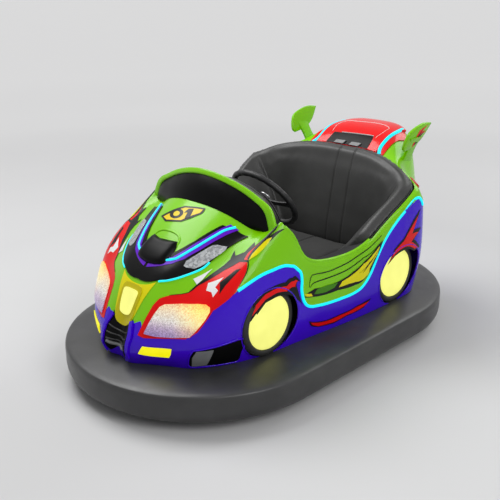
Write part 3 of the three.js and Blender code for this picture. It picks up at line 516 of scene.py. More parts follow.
# ---- modelling bench ---------------------------------------------------------------------
class Bench:
    """Edit-mode steps that the sub-assemblies share."""

    @staticmethod
    def clear() -> None:
        """Leaves edit mode and deselects everything."""
        if bpy.context.object and bpy.context.object.mode != "OBJECT":
            bpy.ops.object.mode_set(mode="OBJECT")
        bpy.ops.object.select_all(action="DESELECT")

    @staticmethod
    def take(piece: Piece) -> None:
        """Makes one piece the only selected and active one."""
        Bench.clear()
        piece.select_set(True)
        bpy.context.view_layer.objects.active = piece

    @staticmethod
    def named(name: str) -> Piece:
        """Names the piece just added and its mesh."""
        piece = bpy.context.object
        piece.name = name
        piece.data.name = name
        return piece

    @staticmethod
    def settle(piece: Piece) -> Piece:
        """Puts a piece's place into its mesh."""
        Bench.take(piece)
        bpy.ops.object.transform_apply(location=True, rotation=True, scale=True)
        return piece

    @staticmethod
    def modify(piece: Piece, kind: str, **values: object) -> None:
        """Adds a modifier, sets it and applies it.

        Args:
            piece: the piece it shapes.
            kind: the modifier's type.
            values: its settings, by name.
        """
        Bench.take(piece)
        tool = piece.modifiers.new(kind.title(), kind)
        for key, value in values.items():
            setattr(tool, key, value)
        bpy.ops.object.modifier_apply(modifier=tool.name)

    @staticmethod
    def soften(piece: Piece, width: float, segments: int = 2) -> None:
        """Rounds a piece's sharp edges."""
        angle = math.radians(50)
        Bench.modify(piece, "BEVEL", width=width, segments=segments, limit_method="ANGLE", angle_limit=angle)

    @staticmethod
    def smooth(piece: Piece, degrees: float = 35.0) -> None:
        """Shades a piece smooth, with edges sharper than an angle left crisp."""
        Bench.take(piece)
        bpy.ops.object.shade_smooth_by_angle(angle=math.radians(degrees))

    @staticmethod
    def tidy(piece: Piece, distance: float = 1e-5, outward: bool = True) -> None:
        """Merges doubles and, where asked, turns all faces outwards."""
        Bench.take(piece)
        bpy.ops.object.mode_set(mode="EDIT")
        bpy.ops.mesh.select_all(action="SELECT")
        bpy.ops.mesh.remove_doubles(threshold=distance)
        if outward:
            bpy.ops.mesh.normals_make_consistent(inside=False)
        bpy.ops.object.mode_set(mode="OBJECT")

    @staticmethod
    def grid(name: str, across: int, up: int, place: Callable[[Array, Array], Array]) -> Piece:
        """A grid whose points are laid where a function says.

        Args:
            name: the piece's name.
            across: faces along the first direction.
            up: faces along the second.
            place: gives a point for each pair of values from 0 to 1.

        Returns:
            The new piece.
        """
        Bench.clear()
        bpy.ops.mesh.primitive_grid_add(x_subdivisions=across, y_subdivisions=up, size=2)
        piece = Bench.named(name)
        flat = Bench.points(piece)
        Bench.move(piece, place((flat[:, 0] + 1) / 2, (flat[:, 1] + 1) / 2))
        return piece

    @staticmethod
    def points(piece: Piece, kind: str = "co") -> Array:
        """The piece's points, or their normals, as rows of three."""
        flat = np.empty(len(piece.data.vertices) * 3)
        piece.data.vertices.foreach_get(kind, flat)
        return flat.reshape(-1, 3)

    @staticmethod
    def move(piece: Piece, points: Array) -> None:
        """Puts the piece's points where rows of three say."""
        piece.data.vertices.foreach_set("co", points.astype(float).ravel())
        piece.data.update()

    @staticmethod
    def mesh(name: str, points: Sequence[Sequence[float]], faces: Sequence[Sequence[int]]) -> Piece:
        """A piece from points and faces."""
        Bench.clear()
        mesh = bpy.data.meshes.new(name)
        mesh.from_pydata([tuple(p) for p in points], [], [tuple(f) for f in faces])
        mesh.update()
        piece = bpy.data.objects.new(name, mesh)
        bpy.context.scene.collection.objects.link(piece)
        return piece

    @staticmethod
    def loft(name: str, rows: Array, closed_rows: bool, capped: bool = True) -> Piece:
        """A skin over rows of points, each row a closed loop.

        Args:
            name: the piece's name.
            rows: rows x points x 3.
            closed_rows: whether the last row joins the first.
            capped: whether open ends get a face.

        Returns:
            The new piece, faces outwards.
        """
        count, size = rows.shape[:2]
        faces = []
        for i in range(count if closed_rows else count - 1):
            a, b = i * size, ((i + 1) % count) * size
            for j in range(size):
                k = (j + 1) % size
                faces.append((a + j, b + j, b + k, a + k))
        if not closed_rows and capped:
            faces.append(tuple(range(size)))
            faces.append(tuple(reversed(range((count - 1) * size, count * size))))
        piece = Bench.mesh(name, rows.reshape(-1, 3), faces)
        Bench.tidy(piece, 1e-6)
        return piece

    @staticmethod
    def wire(name: str, points: Sequence[Sequence[float]], closed: bool = True) -> Piece:
        """A piece of edges only, along points.

        Args:
            name: the piece's name.
            points: the points in order.
            closed: whether the last joins the first.

        Returns:
            The new piece.
        """
        mesh = bpy.data.meshes.new(name)
        count = len(points)
        edges = [(k, (k + 1) % count) for k in range(count if closed else count - 1)]
        mesh.from_pydata([tuple(p) for p in points], edges, [])
        piece = bpy.data.objects.new(name, mesh)
        bpy.context.scene.collection.objects.link(piece)
        return piece

    @staticmethod
    def lathe(name: str, profile: Outline, centre: Point, steps: int = 64, closed: bool = True) -> Piece:
        """Spins a profile of (reach along X, radius) about an axis along X.

        Args:
            name: the piece's name.
            profile: the section's points.
            centre: where the axis passes.
            steps: facets round it.
            closed: whether the section joins its own start.

        Returns:
            The new piece, faces outwards.
        """
        points = [(centre[0] + x, centre[1] + r, centre[2]) for x, r in profile]
        piece = Bench.wire(name, points, closed)
        Bench.take(piece)
        bpy.ops.object.mode_set(mode="EDIT")
        bpy.ops.mesh.select_all(action="SELECT")
        bpy.ops.mesh.spin(steps=steps, angle=2 * math.pi, center=centre, axis=(1, 0, 0))
        bpy.ops.mesh.select_all(action="SELECT")
        bpy.ops.mesh.remove_doubles(threshold=1e-5)
        bpy.ops.mesh.normals_make_consistent(inside=False)
        bpy.ops.object.mode_set(mode="OBJECT")
        return piece

    @staticmethod
    def tube(name: str, path: Array, radius: float, closed: bool = False, sides: int = 10) -> Piece:
        """A round bar along a path."""
        frames = path_frames(path, closed)
        rows = []
        for here, (side, rise) in zip(path, frames):
            ring = [
                here + radius * (
                    math.cos(a) * side + math.sin(a) * rise
                ) for a in np.linspace(0, 2 * math.pi, sides, endpoint=False)
            ]
            rows.append(ring)
        piece = Bench.loft(name, np.array(rows), closed)
        Bench.smooth(piece, 50)
        return piece

    @staticmethod
    def mirror(piece: Piece, name: str) -> Piece:
        """A copy with its own mesh on the car's other side."""
        Bench.take(piece)
        bpy.ops.object.duplicate()
        other = Bench.named(name)
        other.data.transform(Matrix.Scale(-1, 4, (1, 0, 0)))
        other.data.flip_normals()
        return other


def path_frames(path: Array, closed: bool) -> list[tuple[Array, Array]]:
    """Side and rise directions at each point of a path.

    Args:
        path: points x 3.
        closed: whether it joins its own start.

    Returns:
        One pair of unit vectors a point, both square to the path.
    """
    found = []
    count = len(path)
    rise = np.array([0.0, 0.0, 1.0])
    for i in range(count):
        before = path[(i - 1) % count] if closed or i > 0 else path[i]
        after = path[(i + 1) % count] if closed or i < count - 1 else path[i]
        ahead = after - before
        ahead = ahead / np.linalg.norm(ahead)
        side = np.cross(ahead, rise)
        if np.linalg.norm(side) < 0.15:
            side = np.cross(ahead, np.array([1.0, 0.0, 0.0]))
        side = side / np.linalg.norm(side)
        found.append((side, np.cross(side, ahead)))
    return found


def rounded(points: Array, closed: bool, steps: int = 6) -> Array:
    """A smooth line through points.

    Args:
        points: the points it passes.
        closed: whether it joins its start.
        steps: new points per span.

    Returns:
        The finer line.
    """
    count = len(points)
    last = count if closed else count - 1
    made = []
    for i in range(last):
        if closed:
            p = [points[(i + k) % count] for k in (-1, 0, 1, 2)]
        else:
            p = [points[min(max(i + k, 0), count - 1)] for k in (-1, 0, 1, 2)]
        for s in range(steps):
            made.append(catmull(*p, s / steps))
    if not closed:
        made.append(points[-1])
    return np.array(made)


def curved(line: Outline, closed: bool, steps: int) -> Array:
    """A smooth line through (column, row) points."""
    return rounded(np.c_[np.array(line, float), np.zeros(len(line))], closed, steps)[:, :2]


def catmull(a: Array, b: Array, c: Array, d: Array, t: float) -> Array:
    """The curve between b and c at t, with a and d as its neighbours."""
    return 0.5 * (2 * b + (c - a) * t + (2 * a - 5 * b + 4 * c - d) * t * t + (3 * b - a - 3 * c + d) * t**3)


# ---- the body's surface --------------------------------------------------------------------
SILL = 185.3
HALF_NET = (
    (
        (0, -823, SILL), (0, -822, 255), (0, -800, 325), (0, -742, 462), (0, -640, 560), (0, -522, 660),
        (0, -425, 729),
    ),
    (
        (62, -838, SILL), (60, -855, 250), (62, -806, 345), (66, -735, 472), (75, -632, 563),
        (82, -516, 658), (95, -420, 724),
    ),
    (
        (120, -800, SILL), (130, -832, 250), (134, -783, 372), (136, -695, 500), (145, -610, 568),
        (165, -500, 643), (190, -400, 700),
    ),
    (
        (205, -745, SILL), (249, -774, 278), (262, -722, 395), (255, -640, 490), (245, -575, 550),
        (258, -465, 620), (287, -362, 655),
    ),
    (
        (285, -690, SILL), (335, -688, 280), (355, -655, 420), (340, -590, 520), (325, -500, 580),
        (330, -405, 638), (342, -322, 678),
    ),
    (
        (358, -560, SILL), (395, -566, 290), (396, -572, 480), (385, -500, 565), (368, -430, 622),
        (364, -374, 664), (368, -316, 700),
    ),
    (
        (396, -414, SILL), (418, -414, 310), (408, -440, 528), (402, -400, 582), (392, -370, 625),
        (388, -340, 658), (388, -310, 680),
    ),
    (
        (408, -290, SILL), (430, -290, 310), (420, -315, 528), (418, -300, 560), (412, -290, 600),
        (408, -282, 625), (406, -275, 636),
    ),
    (
        (416, -200, SILL), (430, -200, 260), (438, -232, 372), (436, -225, 430), (432, -215, 480),
        (428, -210, 510), (424, -212, 524),
    ),
    (
        (434, -30, SILL), (447, -25, 250), (455, -8, 320), (455, -8, 370), (454, -8, 430), (450, -8, 480),
        (442, -8, 498),
    ),
    (
        (444, 100, SILL), (456, 100, 260), (463, 105, 338), (468, 108, 390), (470, 112, 450),
        (468, 115, 505), (460, 118, 525),
    ),
    (
        (450, 225, SILL), (470, 225, 330), (478, 232, 512), (482, 230, 540), (484, 226, 565),
        (482, 222, 585), (474, 220, 596),
    ),
    (
        (452, 380, SILL), (492, 375, 420), (512, 380, 662), (511, 381, 672), (508, 382, 682),
        (502, 382, 690), (492, 380, 695),
    ),
    (
        (438, 540, SILL), (482, 520, 380), (500, 478, 625), (492, 470, 672), (482, 462, 700),
        (472, 455, 716), (458, 448, 724),
    ),
    (
        (335, 650, SILL), (380, 645, 360), (392, 598, 585), (368, 570, 664), (356, 546, 706),
        (358, 516, 742), (365, 490, 764),
    ),
    (
        (200, 755, SILL), (234, 792, 380), (230, 800, 620), (204, 806, 834), (196, 728, 868),
        (200, 630, 850), (205, 545, 792),
    ),
    (
        (0, 790, SILL), (0, 840, 380), (0, 868, 640), (0, 856, 864), (0, 746, 890), (0, 640, 864),
        (0, 560, 798),
    ),
)
REAR = 16
SPAN = 32
TOP_ROW = 6


class BodySurface:
    """The moulded body's outer face, read by column v round the car and row u up it."""

    def __init__(self, steps: int = 8, softening: int = 6) -> None:
        """Builds a dense sheet of points over the net.

        Args:
            steps: points per column and per row of the net.
            softening: how often neighbouring points are averaged.
        """
        half = np.array(HALF_NET, float) / 1000
        net = np.concatenate([half, half[1:-1][::-1] * np.array([-1.0, 1.0, 1.0])])
        self.steps = steps
        columns = np.array(
            [
                catmull(net[i - 1], net[i], net[(i + 1) % SPAN], net[(i + 2) % SPAN], s / steps)
                for i in range(SPAN)
                for s in range(steps)
            ]
        )
        sheet = []
        for j in range(TOP_ROW):
            near = [columns[:, min(max(q, 0), TOP_ROW)] for q in (j - 1, j, j + 1, j + 2)]
            sheet += [catmull(*near, s / steps) for s in range(steps)]
        sheet.append(columns[:, TOP_ROW])
        dense = np.stack(sheet, 1)
        for _ in range(softening):
            dense = 0.5 * dense + 0.25 * (np.roll(dense, 1, 0) + np.roll(dense, -1, 0))
            dense[:, 1:-1] = 0.5 * dense[:, 1:-1] + 0.25 * (dense[:, :-2] + dense[:, 2:])
        self.dense = dense

    def point(self, v: Array | float, u: Array | float) -> Array:
        """Points on the surface.

        Args:
            v: columns round the body.
            u: rows up it.

        Returns:
            Points, with the same shape as v and u and three numbers each.
        """
        across = np.asarray(v, float) % SPAN * self.steps
        up = np.clip(np.asarray(u, float), 0, TOP_ROW) * self.steps
        i = np.floor(across).astype(int)
        j = np.minimum(np.floor(up).astype(int), TOP_ROW * self.steps - 1)
        s = (across - i)[..., None]
        t = (up - j)[..., None]
        count = len(self.dense)
        i, k = i % count, (i + 1) % count
        low = self.dense[i, j] * (1 - s) + self.dense[k, j] * s
        high = self.dense[i, j + 1] * (1 - s) + self.dense[k, j + 1] * s
        return low * (1 - t) + high * t

    def normal(self, v: Array | float, u: Array | float) -> Array:
        """Outward unit normals on the surface."""
        v, u = np.asarray(v, float), np.asarray(u, float)
        step = 0.1
        along = self.point(v + step, u) - self.point(v - step, u)
        rise = self.point(v, u + step) - self.point(v, u - step)
        facing = np.cross(along, rise)
        return facing / np.linalg.norm(facing, axis=-1, keepdims=True)

    def above(self, v: Array | float, u: Array | float, lift: float) -> Array:
        """Points that stand off the surface by a height."""
        return self.point(v, u) + lift * self.normal(v, u)

    def panel(
        self, name: str, stops: Array, low: Callable, high: Callable, rows: int, wall: float = 0.005,
        lift: float = 0.0,
    ) -> Piece:
        """A moulded skin between two lines round the body.

        Args:
            name: the piece's name.
            stops: the columns where it has points.
            low: its lower row at each column.
            high: its upper row at each column.
            rows: faces up it.
            wall: thickness.
            lift: height of its outer face over the surface.

        Returns:
            The closed skin.
        """

        def place(s: Array, t: Array) -> Array:
            v = np.interp(s * (len(stops) - 1), np.arange(len(stops)), stops)
            u = low(v) * (1 - t) + high(v) * t
            return self.above(v, u, lift)

        piece = Bench.grid(name, len(stops) - 1, rows, place)
        Bench.tidy(piece, 2e-5, False)
        Bench.modify(piece, "SOLIDIFY", thickness=wall, offset=-1.0, use_even_offset=False)
        return piece

    def film(
        self, name: str, outline: Outline, lift: float = 0.0012, wall: float = 0.0008, smooth: bool = False,
    ) -> Piece:
        """A thin sheet laid on the body inside an outline, such as printed film or a lamp.

        Args:
            name: the piece's name.
            outline: its corners as (column, row), in order.
            lift: height of its outer face over the body.
            wall: its thickness.
            smooth: whether the outline runs as a curve through its corners.

        Returns:
            The closed sheet.
        """
        edge = np.array(outline, float)
        if smooth:
            edge = curved(outline, True, 4)
        area = np.dot(edge[:, 0], np.roll(edge[:, 1], -1)) - np.dot(np.roll(edge[:, 0], -1), edge[:, 1])
        if area < 0:
            edge = edge[::-1]
        work = bmesh.new()
        work.faces.new([work.verts.new((v, u, 0)) for v, u in edge])
        for axis in (0, 1):
            start = math.ceil(edge[:, axis].min() * self.steps)
            end = math.floor(edge[:, axis].max() * self.steps)
            for k in range(start, end + 1):
                spot, facing = [0.0, 0.0, 0.0], [0.0, 0.0, 0.0]
                spot[axis], facing[axis] = k / self.steps, 1.0
                every = list(work.verts) + list(work.edges) + list(work.faces)
                bmesh.ops.bisect_plane(work, geom=every, plane_co=spot, plane_no=facing, dist=1e-5)
        bmesh.ops.remove_doubles(work, verts=work.verts, dist=1e-4)
        bmesh.ops.triangulate(work, faces=work.faces)
        for corner in work.verts:
            corner.co = self.above(corner.co.x, corner.co.y, lift)
        mesh = bpy.data.meshes.new(name)
        work.to_mesh(mesh)
        work.free()
        piece = bpy.data.objects.new(name, mesh)
        bpy.context.scene.collection.objects.link(piece)
        Bench.modify(piece, "SOLIDIFY", thickness=wall, offset=-1.0)
        Bench.smooth(piece, 40)
        return piece

    def ribbon(
        self, name: str, line: Outline, width: float, height: float, sink: float = 0.001, smooth: int = 5,
    ) -> Piece:
        """A raised strip with a round top that follows a line on the body.

        Args:
            name: the piece's name.
            line: its middle line as (column, row) points.
            width: across the strip.
            height: over the body.
            sink: how far its foot lies under the body's face.
            smooth: points per span of the line.

        Returns:
            The closed strip.
        """
        course = curved(line, False, smooth)
        middle = self.point(course[:, 0], course[:, 1])
        up = self.normal(course[:, 0], course[:, 1])
        ahead = np.gradient(middle, axis=0)
        side = np.cross(ahead, up)
        side /= np.linalg.norm(side, axis=1, keepdims=True)
        half = width / 2
        section = [
            (-half, -sink), (-half, height * 0.45), (-half * 0.62, height * 0.9), (0, height),
            (half * 0.62, height * 0.9), (half, height * 0.45), (half, -sink),
        ]
        rows = np.stack([middle + side * a + up * b for a, b in section], 1)
        piece = Bench.loft(name, rows, False)
        Bench.smooth(piece, 60)
        return piece


# ---- shared builder ---------------------------------------------------------------------------
@dataclass
class Assembly:
    """What every sub-assembly knows: the surface, the finishes and the body it rides on."""

    surface: BodySurface
    finishes: Finishes
    body: str = "car"

    def dress(self, piece: Piece, finish: Material, replaces: Sequence[str] = (), slot: str = "") -> Piece:
        """Gives a piece its finish and its place in the frame.

        Args:
            piece: the piece.
            finish: its material.
            replaces: the CAD nodes that it stands for.
            slot: the record's material slot, where it isn't the finish's own; not used.

        Returns:
            The same piece.
        """
        piece.data.materials.clear()
        piece.data.materials.append(finish)
        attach(piece, self.body)
        slot or self.finishes.slots[finish.name]
        if replaces:
            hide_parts(*replaces)
        LOG.info("%s: %d faces", piece.name, len(piece.data.polygons))
        return piece

    def both(self, piece: Piece, finish: Material, replaces: Sequence[str] = (), slot: str = "") -> None:
        """Dresses a left piece and its mirrored copy on the right."""
        stem = piece.name.removesuffix("_left")
        other = Bench.mirror(piece, f"{stem}_right")
        self.dress(piece, finish, [n for n in replaces if not n.endswith("_right")], slot)
        self.dress(other, finish, [n for n in replaces if n.endswith("_right")], slot)

    def lay(
        self,
        name: str,
        outline: Outline,
        heights: tuple[float, float],
        finish: Material,
        replaces: Sequence[str] = (),
        smooth: bool = False,
        edge: float = 0.0,
        shading: float = 0.0,
    ) -> None:
        """Lays a sheet on the body and dresses it, with its mirror image if it is a left one.

        Args:
            name: the sheet's name.
            outline: its corners as (column, row).
            heights: its outer face over the body, and its thickness.
            finish: its material.
            replaces: the CAD nodes that it stands for.
            smooth: whether the outline runs as a curve.
            edge: width of its rounded edges, or 0.
            shading: the sharpest angle that is shaded smooth, where it isn't the sheet's own.
        """
        piece = self.surface.film(name, outline, *heights, smooth)
        if edge:
            Bench.soften(piece, edge)
        if shading:
            Bench.smooth(piece, shading)
        self.place(piece, finish, replaces)

    def strip(
        self, name: str, line: Outline, size: tuple[float, float], finish: Material, slot: str = "",
        smooth: int = 5,
    ) -> None:
        """Lays a raised strip of a given width and height along a line and dresses it."""
        self.place(self.surface.ribbon(name, line, *size, smooth=smooth), finish, (), slot)

    def place(self, piece: Piece, finish: Material, replaces: Sequence[str] = (), slot: str = "") -> None:
        """Dresses one piece, or a pair if the name ends in left."""
        add = self.both if piece.name.endswith("_left") else self.dress
        add(piece, finish, replaces, slot)


LIGHT_LINE: Outline = (
    (4.88, 2.24), (5.36, 2.2), (5.82, 2.16), (6.37, 2.1), (6.98, 2.2), (7.3, 2.72), (7.56, 3.1), (7.69, 2.6),
    (7.7, 2.05), (7.74, 1.76), (7.86, 1.65), (8.06, 1.67), (8.28, 1.76), (8.6, 1.87), (9.04, 2.02),
    (9.56, 2.12), (9.98, 1.99), (10.33, 1.94), (10.57, 2.15), (10.92, 2.64), (11.17, 3.0), (11.45, 3.1),
    (11.73, 2.85), (12.03, 2.55), (12.32, 2.3), (12.71, 2.02), (13.4, 1.98),
)
COLOUR_LINE: Outline = (
    (0.0, 1.86), (1.0, 1.92), (1.6, 1.96), (1.75, 1.78), (2.0, 1.72), (3.3, 1.62), (3.62, 1.75), (3.9, 2.12),
    (4.3, 2.2), *LIGHT_LINE, (14.2, 2.0), (16.0, 2.0),
)


def colour_row(v: Array) -> Array:
    """The row where blue meets green at each column."""
    folded = np.asarray(v, float) % SPAN
    folded = np.where(folded > REAR, SPAN - folded, folded)
    line = curved(COLOUR_LINE, False, 5)
    order = np.argsort(line[:, 0], kind="stable")
    return np.interp(folded, line[order, 0], line[order, 1])


@dataclass
class BodyShell(Assembly):
    """The moulded body: blue below, green above, with arches for the side wheels."""

    front_arch: Point = (0.412, -0.416, 0.325)
    rear_arch: Point = (0.458, 0.360, 0.325)
    arch_radius: float = 0.143
    wall: float = 0.005

    def stops(self) -> Array:
        """Columns where the skins have points, closer where the colour line is steep."""
        even = np.arange(0, SPAN + 1e-9, 0.1)
        steep = np.array([7.52, 7.58, 7.62, 7.66, 7.68, 7.72, 7.74, 7.76, 7.82])
        both = np.concatenate([even, steep, SPAN - steep])
        return np.unique(np.round(both, 4))

    def arch_cutter(self, centre: Point, sign: int) -> Piece:
        """A drum through one arch."""
        Bench.clear()
        spot = (sign * (centre[0] + 0.1), centre[1], centre[2])
        turned = (0, math.pi / 2, 0)
        bpy.ops.mesh.primitive_cylinder_add(
            vertices=96, radius=self.arch_radius, depth=0.5, location=spot, rotation=turned,
        )
        return Bench.settle(Bench.named("arch_cutter"))

    def lip(self, centre: Point, name: str) -> None:
        """The rolled edge round an arch, following the body's skin."""
        columns, rows = np.meshgrid(np.arange(4.5, 14.5, 0.02), np.arange(0, 2.6, 0.02), indexing="ij")
        points = self.surface.point(columns, rows)
        reach = np.hypot(points[..., 1] - centre[1], points[..., 2] - centre[2])
        angles = np.arctan2(points[..., 2] - centre[2], points[..., 1] - centre[1])
        found = []
        for angle in np.linspace(-0.9, math.pi + 0.9, 90):
            turn = np.abs((angles - angle + math.pi) % (2 * math.pi) - math.pi) * self.arch_radius
            miss = np.hypot(turn, reach - self.arch_radius)
            best = np.unravel_index(miss.argmin(), miss.shape)
            if miss[best] < 0.01:
                spot = points[best]
                exact = (
                    spot[0], centre[1] + self.arch_radius * math.cos(angle),
                    centre[2] + self.arch_radius * math.sin(angle),
                )
                found.append(exact)
        path = np.array(found)
        path = path[path[:, 2] > SILL / 1000 + 0.004]
        for _ in range(4):
            path[1:-1] = 0.5 * path[1:-1] + 0.25 * (path[:-2] + path[2:])
        piece = Bench.tube(f"{name}_left", path, 0.003)
        self.both(piece, self.finishes.blue)

    def build(self) -> None:
        """Builds the skins, arches and edges."""
        stops = self.stops()
        zero = lambda v: np.zeros_like(v)
        top = lambda v: np.full_like(v, float(TOP_ROW))
        lower = self.surface.panel("lower_body", stops, zero, colour_row, 30, self.wall)
        for centre in (self.front_arch, self.rear_arch):
            for sign in (1, -1):
                cutter = self.arch_cutter(centre, sign)
                Bench.modify(lower, "BOOLEAN", operation="DIFFERENCE", object=cutter, solver="MANIFOLD")
                bpy.data.objects.remove(cutter)
        Bench.smooth(lower, 30)
        upper = self.surface.panel("upper_body", stops, colour_row, top, 44, self.wall)
        Bench.smooth(upper, 30)
        lower_nodes = ["front_fascia", "tail_panel"]
        for stem in ("front_fender", "side_sill", "rear_fender"):
            lower_nodes += [f"{stem}_left", f"{stem}_right"]
        self.dress(lower, self.finishes.blue, lower_nodes)
        self.dress(upper, self.finishes.green, ["hood", "door_panel_left", "door_panel_right", "rear_deck"])
        self.lip(self.front_arch, "front_arch_lip")
        self.lip(self.rear_arch, "rear_arch_lip")
        self.opening_edge()

    def opening_edge(self) -> None:
        """The rolled rim of the cockpit opening along both sides."""
        columns = np.linspace(5.6, 10.4, 60)
        path = self.surface.point(columns, np.full_like(columns, 6.0))
        inward = path.copy()
        for _ in range(6):
            inward[1:-1] = 0.5 * inward[1:-1] + 0.25 * (inward[:-2] + inward[2:])
        to_end = np.minimum(np.arange(len(columns)), np.arange(len(columns))[::-1])
        dive = np.clip(1 - to_end / 7, 0, 1) ** 2
        inward[:, 0] -= 0.006 + 0.010 * dive
        inward[:, 2] -= 0.002 + 0.014 * dive
        piece = Bench.tube("opening_rim_left", inward, 0.0085, sides=12)
        self.both(piece, self.finishes.green)


@dataclass
class Livery(Assembly):
    """Printed film in the red, black, yellow and white flashes of both sides."""

    def sticker(
        self, name: str, paint: Paint, outline: Outline, lift: float = 0.0012, smooth: bool = False,
    ) -> None:
        """One shape on the left and its mirror image on the right."""
        piece = self.surface.film(f"{name}_left", outline, lift, 0.0006, smooth)
        self.both(piece, self.finishes.vinyl[paint])

    def stroke(self, name: str, paint: Paint, line: Outline, width: float, lift: float = 0.0014) -> None:
        """A printed line of a given width along points on the body."""
        course = curved(line, False, 3)
        middle = self.surface.point(course[:, 0], course[:, 1])
        step = 0.01
        dv = (self.surface.point(course[:, 0] + step, course[:, 1]) - middle) / step
        du = (self.surface.point(course[:, 0], course[:, 1] + step) - middle) / step
        ahead = np.gradient(middle, axis=0)
        up = self.surface.normal(course[:, 0], course[:, 1])
        side = np.cross(ahead, up)
        side /= np.linalg.norm(side, axis=1, keepdims=True)
        taper = np.sin(np.linspace(0.15, math.pi - 0.15, len(course))) ** 0.5
        edges = ([], [])
        for k, here in enumerate(course):
            shift = np.linalg.lstsq(
                np.stack([dv[k], du[k]], 1), side[k] * width / 2 * taper[k], rcond=None,
            )[0]
            edges[0].append(tuple(here + shift))
            edges[1].append(tuple(here - shift))
        self.sticker(name, paint, edges[0] + edges[1][::-1], lift)

    def build(self) -> None:
        """Lays every shape."""
        self.front()
        self.sides()

    def front(self) -> None:
        """Headlamp surround, swoosh, bolts and the nose stripe."""
        red = (
            (1.69, 1.56), (1.75, 1.8), (1.81, 2.08), (1.9, 2.37), (2.04, 2.54), (2.27, 2.62), (2.79, 2.79),
            (3.0, 3.17), (3.22, 3.36), (3.47, 3.62), (3.67, 3.71), (3.92, 3.91), (4.25, 3.96), (4.7, 3.43),
            (4.85, 3.04), (4.89, 2.74), (4.86, 2.5), (4.8, 2.26), (4.56, 2.21), (4.22, 2.19), (3.93, 2.13),
            (3.6, 1.56), (3.3, 1.38), (2.0, 1.47),
        )
        self.sticker("red_swoosh", Paint.RED, red, 0.0012)
        self.stroke(
            "swoosh_edge", Paint.BLACK,
            (
                (2.3, 2.64), (2.79, 2.81), (3.0, 3.19), (3.24, 3.4), (3.5, 3.67), (3.92, 3.95), (4.25, 4.0),
                (4.72, 3.46), (4.88, 3.04), (4.92, 2.74), (4.86, 2.4),
            ),
            0.0045, 0.0016,
        )
        bolt = (
            (2.79, 2.84), (2.92, 3.14), (3.25, 3.66), (3.49, 4.0), (3.55, 4.22), (3.38, 4.66), (3.64, 4.36),
            (3.97, 4.4), (4.01, 4.88), (4.37, 4.5), (4.79, 4.84), (5.01, 5.79), (5.3, 5.3), (5.1, 4.75),
            (6.0, 5.75), (5.53, 4.46), (5.08, 3.85), (4.66, 3.5), (4.15, 3.84), (3.68, 3.69), (3.37, 3.45),
            (3.01, 3.13),
        )
        self.sticker("bolt", Paint.BLACK, bolt, 0.002)
        self.sticker(
            "bolt_heart", Paint.YELLOW,
            (
                (4.69, 3.56), (4.67, 3.86), (4.8, 4.07), (4.95, 4.3), (5.12, 4.57), (5.44, 4.68), (5.4, 4.2),
                (5.24, 3.84), (5.02, 3.62),
            ),
            0.0028,
        )
        self.sticker(
            "bolt_tail", Paint.RED,
            ((4.66, 4.5), (4.5, 4.25), (4.52, 3.78), (4.62, 3.62), (4.36, 3.8), (4.28, 4.2)), 0.0026,
        )
        self.sticker(
            "flash_upper", Paint.WHITE, ((2.72, 3.33), (3.14, 3.9), (3.03, 3.4), (2.92, 3.12)), 0.0024,
        )
        self.sticker(
            "flash_lower", Paint.WHITE,
            ((3.29, 3.2), (3.83, 3.3), (3.67, 2.95), (3.86, 2.78), (3.74, 2.59), (3.6, 2.79), (3.35, 2.89)),
            0.0018,
        )
        self.sticker(
            "flash_shadow", Paint.BLACK,
            ((3.78, 3.1), (4.25, 3.42), (4.5, 3.3), (4.1, 2.86), (3.98, 2.62), (3.88, 2.9)), 0.0019,
        )
        nose = (
            (-1.5, 3.05), (-1.2, 2.6), (-0.97, 2.17), (-0.82, 1.99), (-0.45, 1.9), (0.45, 1.9), (0.82, 1.99),
            (0.97, 2.17), (1.2, 2.6), (1.5, 3.05),
        )
        self.lay("nose_stripe", nose, (0.0014, 0.0006), self.finishes.vinyl[Paint.YELLOW])
        self.badge()

    def badge(self) -> None:
        """A plain shield with a plain number on the hood."""
        shield = (
            (-1.46, 5.06), (-1.14, 5.23), (-0.72, 5.43), (-0.3, 5.63), (0.81, 5.81), (0.88, 5.62),
            (0.86, 5.52), (0.54, 5.25), (0.19, 5.07), (-0.84, 4.92),
        )
        field = (
            (-1.2, 5.05), (-0.96, 5.18), (-0.59, 5.38), (-0.18, 5.57), (0.77, 5.71), (0.77, 5.54),
            (0.13, 5.11), (-0.8, 4.98),
        )
        self.lay("badge_edge", shield, (0.0020, 0.001), self.finishes.vinyl[Paint.BLACK])
        self.lay("badge_field", field, (0.0027, 0.0006), self.finishes.vinyl[Paint.BADGE])
        zero = (
            (-0.04, 5.34), (-0.02, 5.27), (-0.06, 5.2), (-0.15, 5.14), (-0.3, 5.1), (-0.46, 5.09),
            (-0.63, 5.1), (-0.77, 5.14), (-0.86, 5.2), (-0.87, 5.28), (-0.82, 5.35), (-0.7, 5.41),
            (-0.55, 5.45), (-0.39, 5.46), (-0.24, 5.45), (-0.11, 5.4),
        )
        hole = (
            (-0.22, 5.3), (-0.21, 5.26), (-0.23, 5.23), (-0.28, 5.2), (-0.35, 5.18), (-0.43, 5.17),
            (-0.51, 5.18), (-0.57, 5.2), (-0.61, 5.23), (-0.62, 5.27), (-0.6, 5.31), (-0.55, 5.34),
            (-0.48, 5.36), (-0.4, 5.36), (-0.32, 5.35), (-0.26, 5.33),
        )
        one = ((-0.02, 5.37), (0.04, 5.56), (0.32, 5.62), (0.49, 5.27), (0.26, 5.2), (0.15, 5.42))
        self.lay("badge_zero", zero, (0.0034, 0.0006), self.finishes.vinyl[Paint.BLACK])
        self.lay("badge_zero_heart", hole, (0.0040, 0.0004), self.finishes.vinyl[Paint.BADGE])
        self.lay("badge_one", one, (0.0034, 0.0006), self.finishes.vinyl[Paint.BLACK])

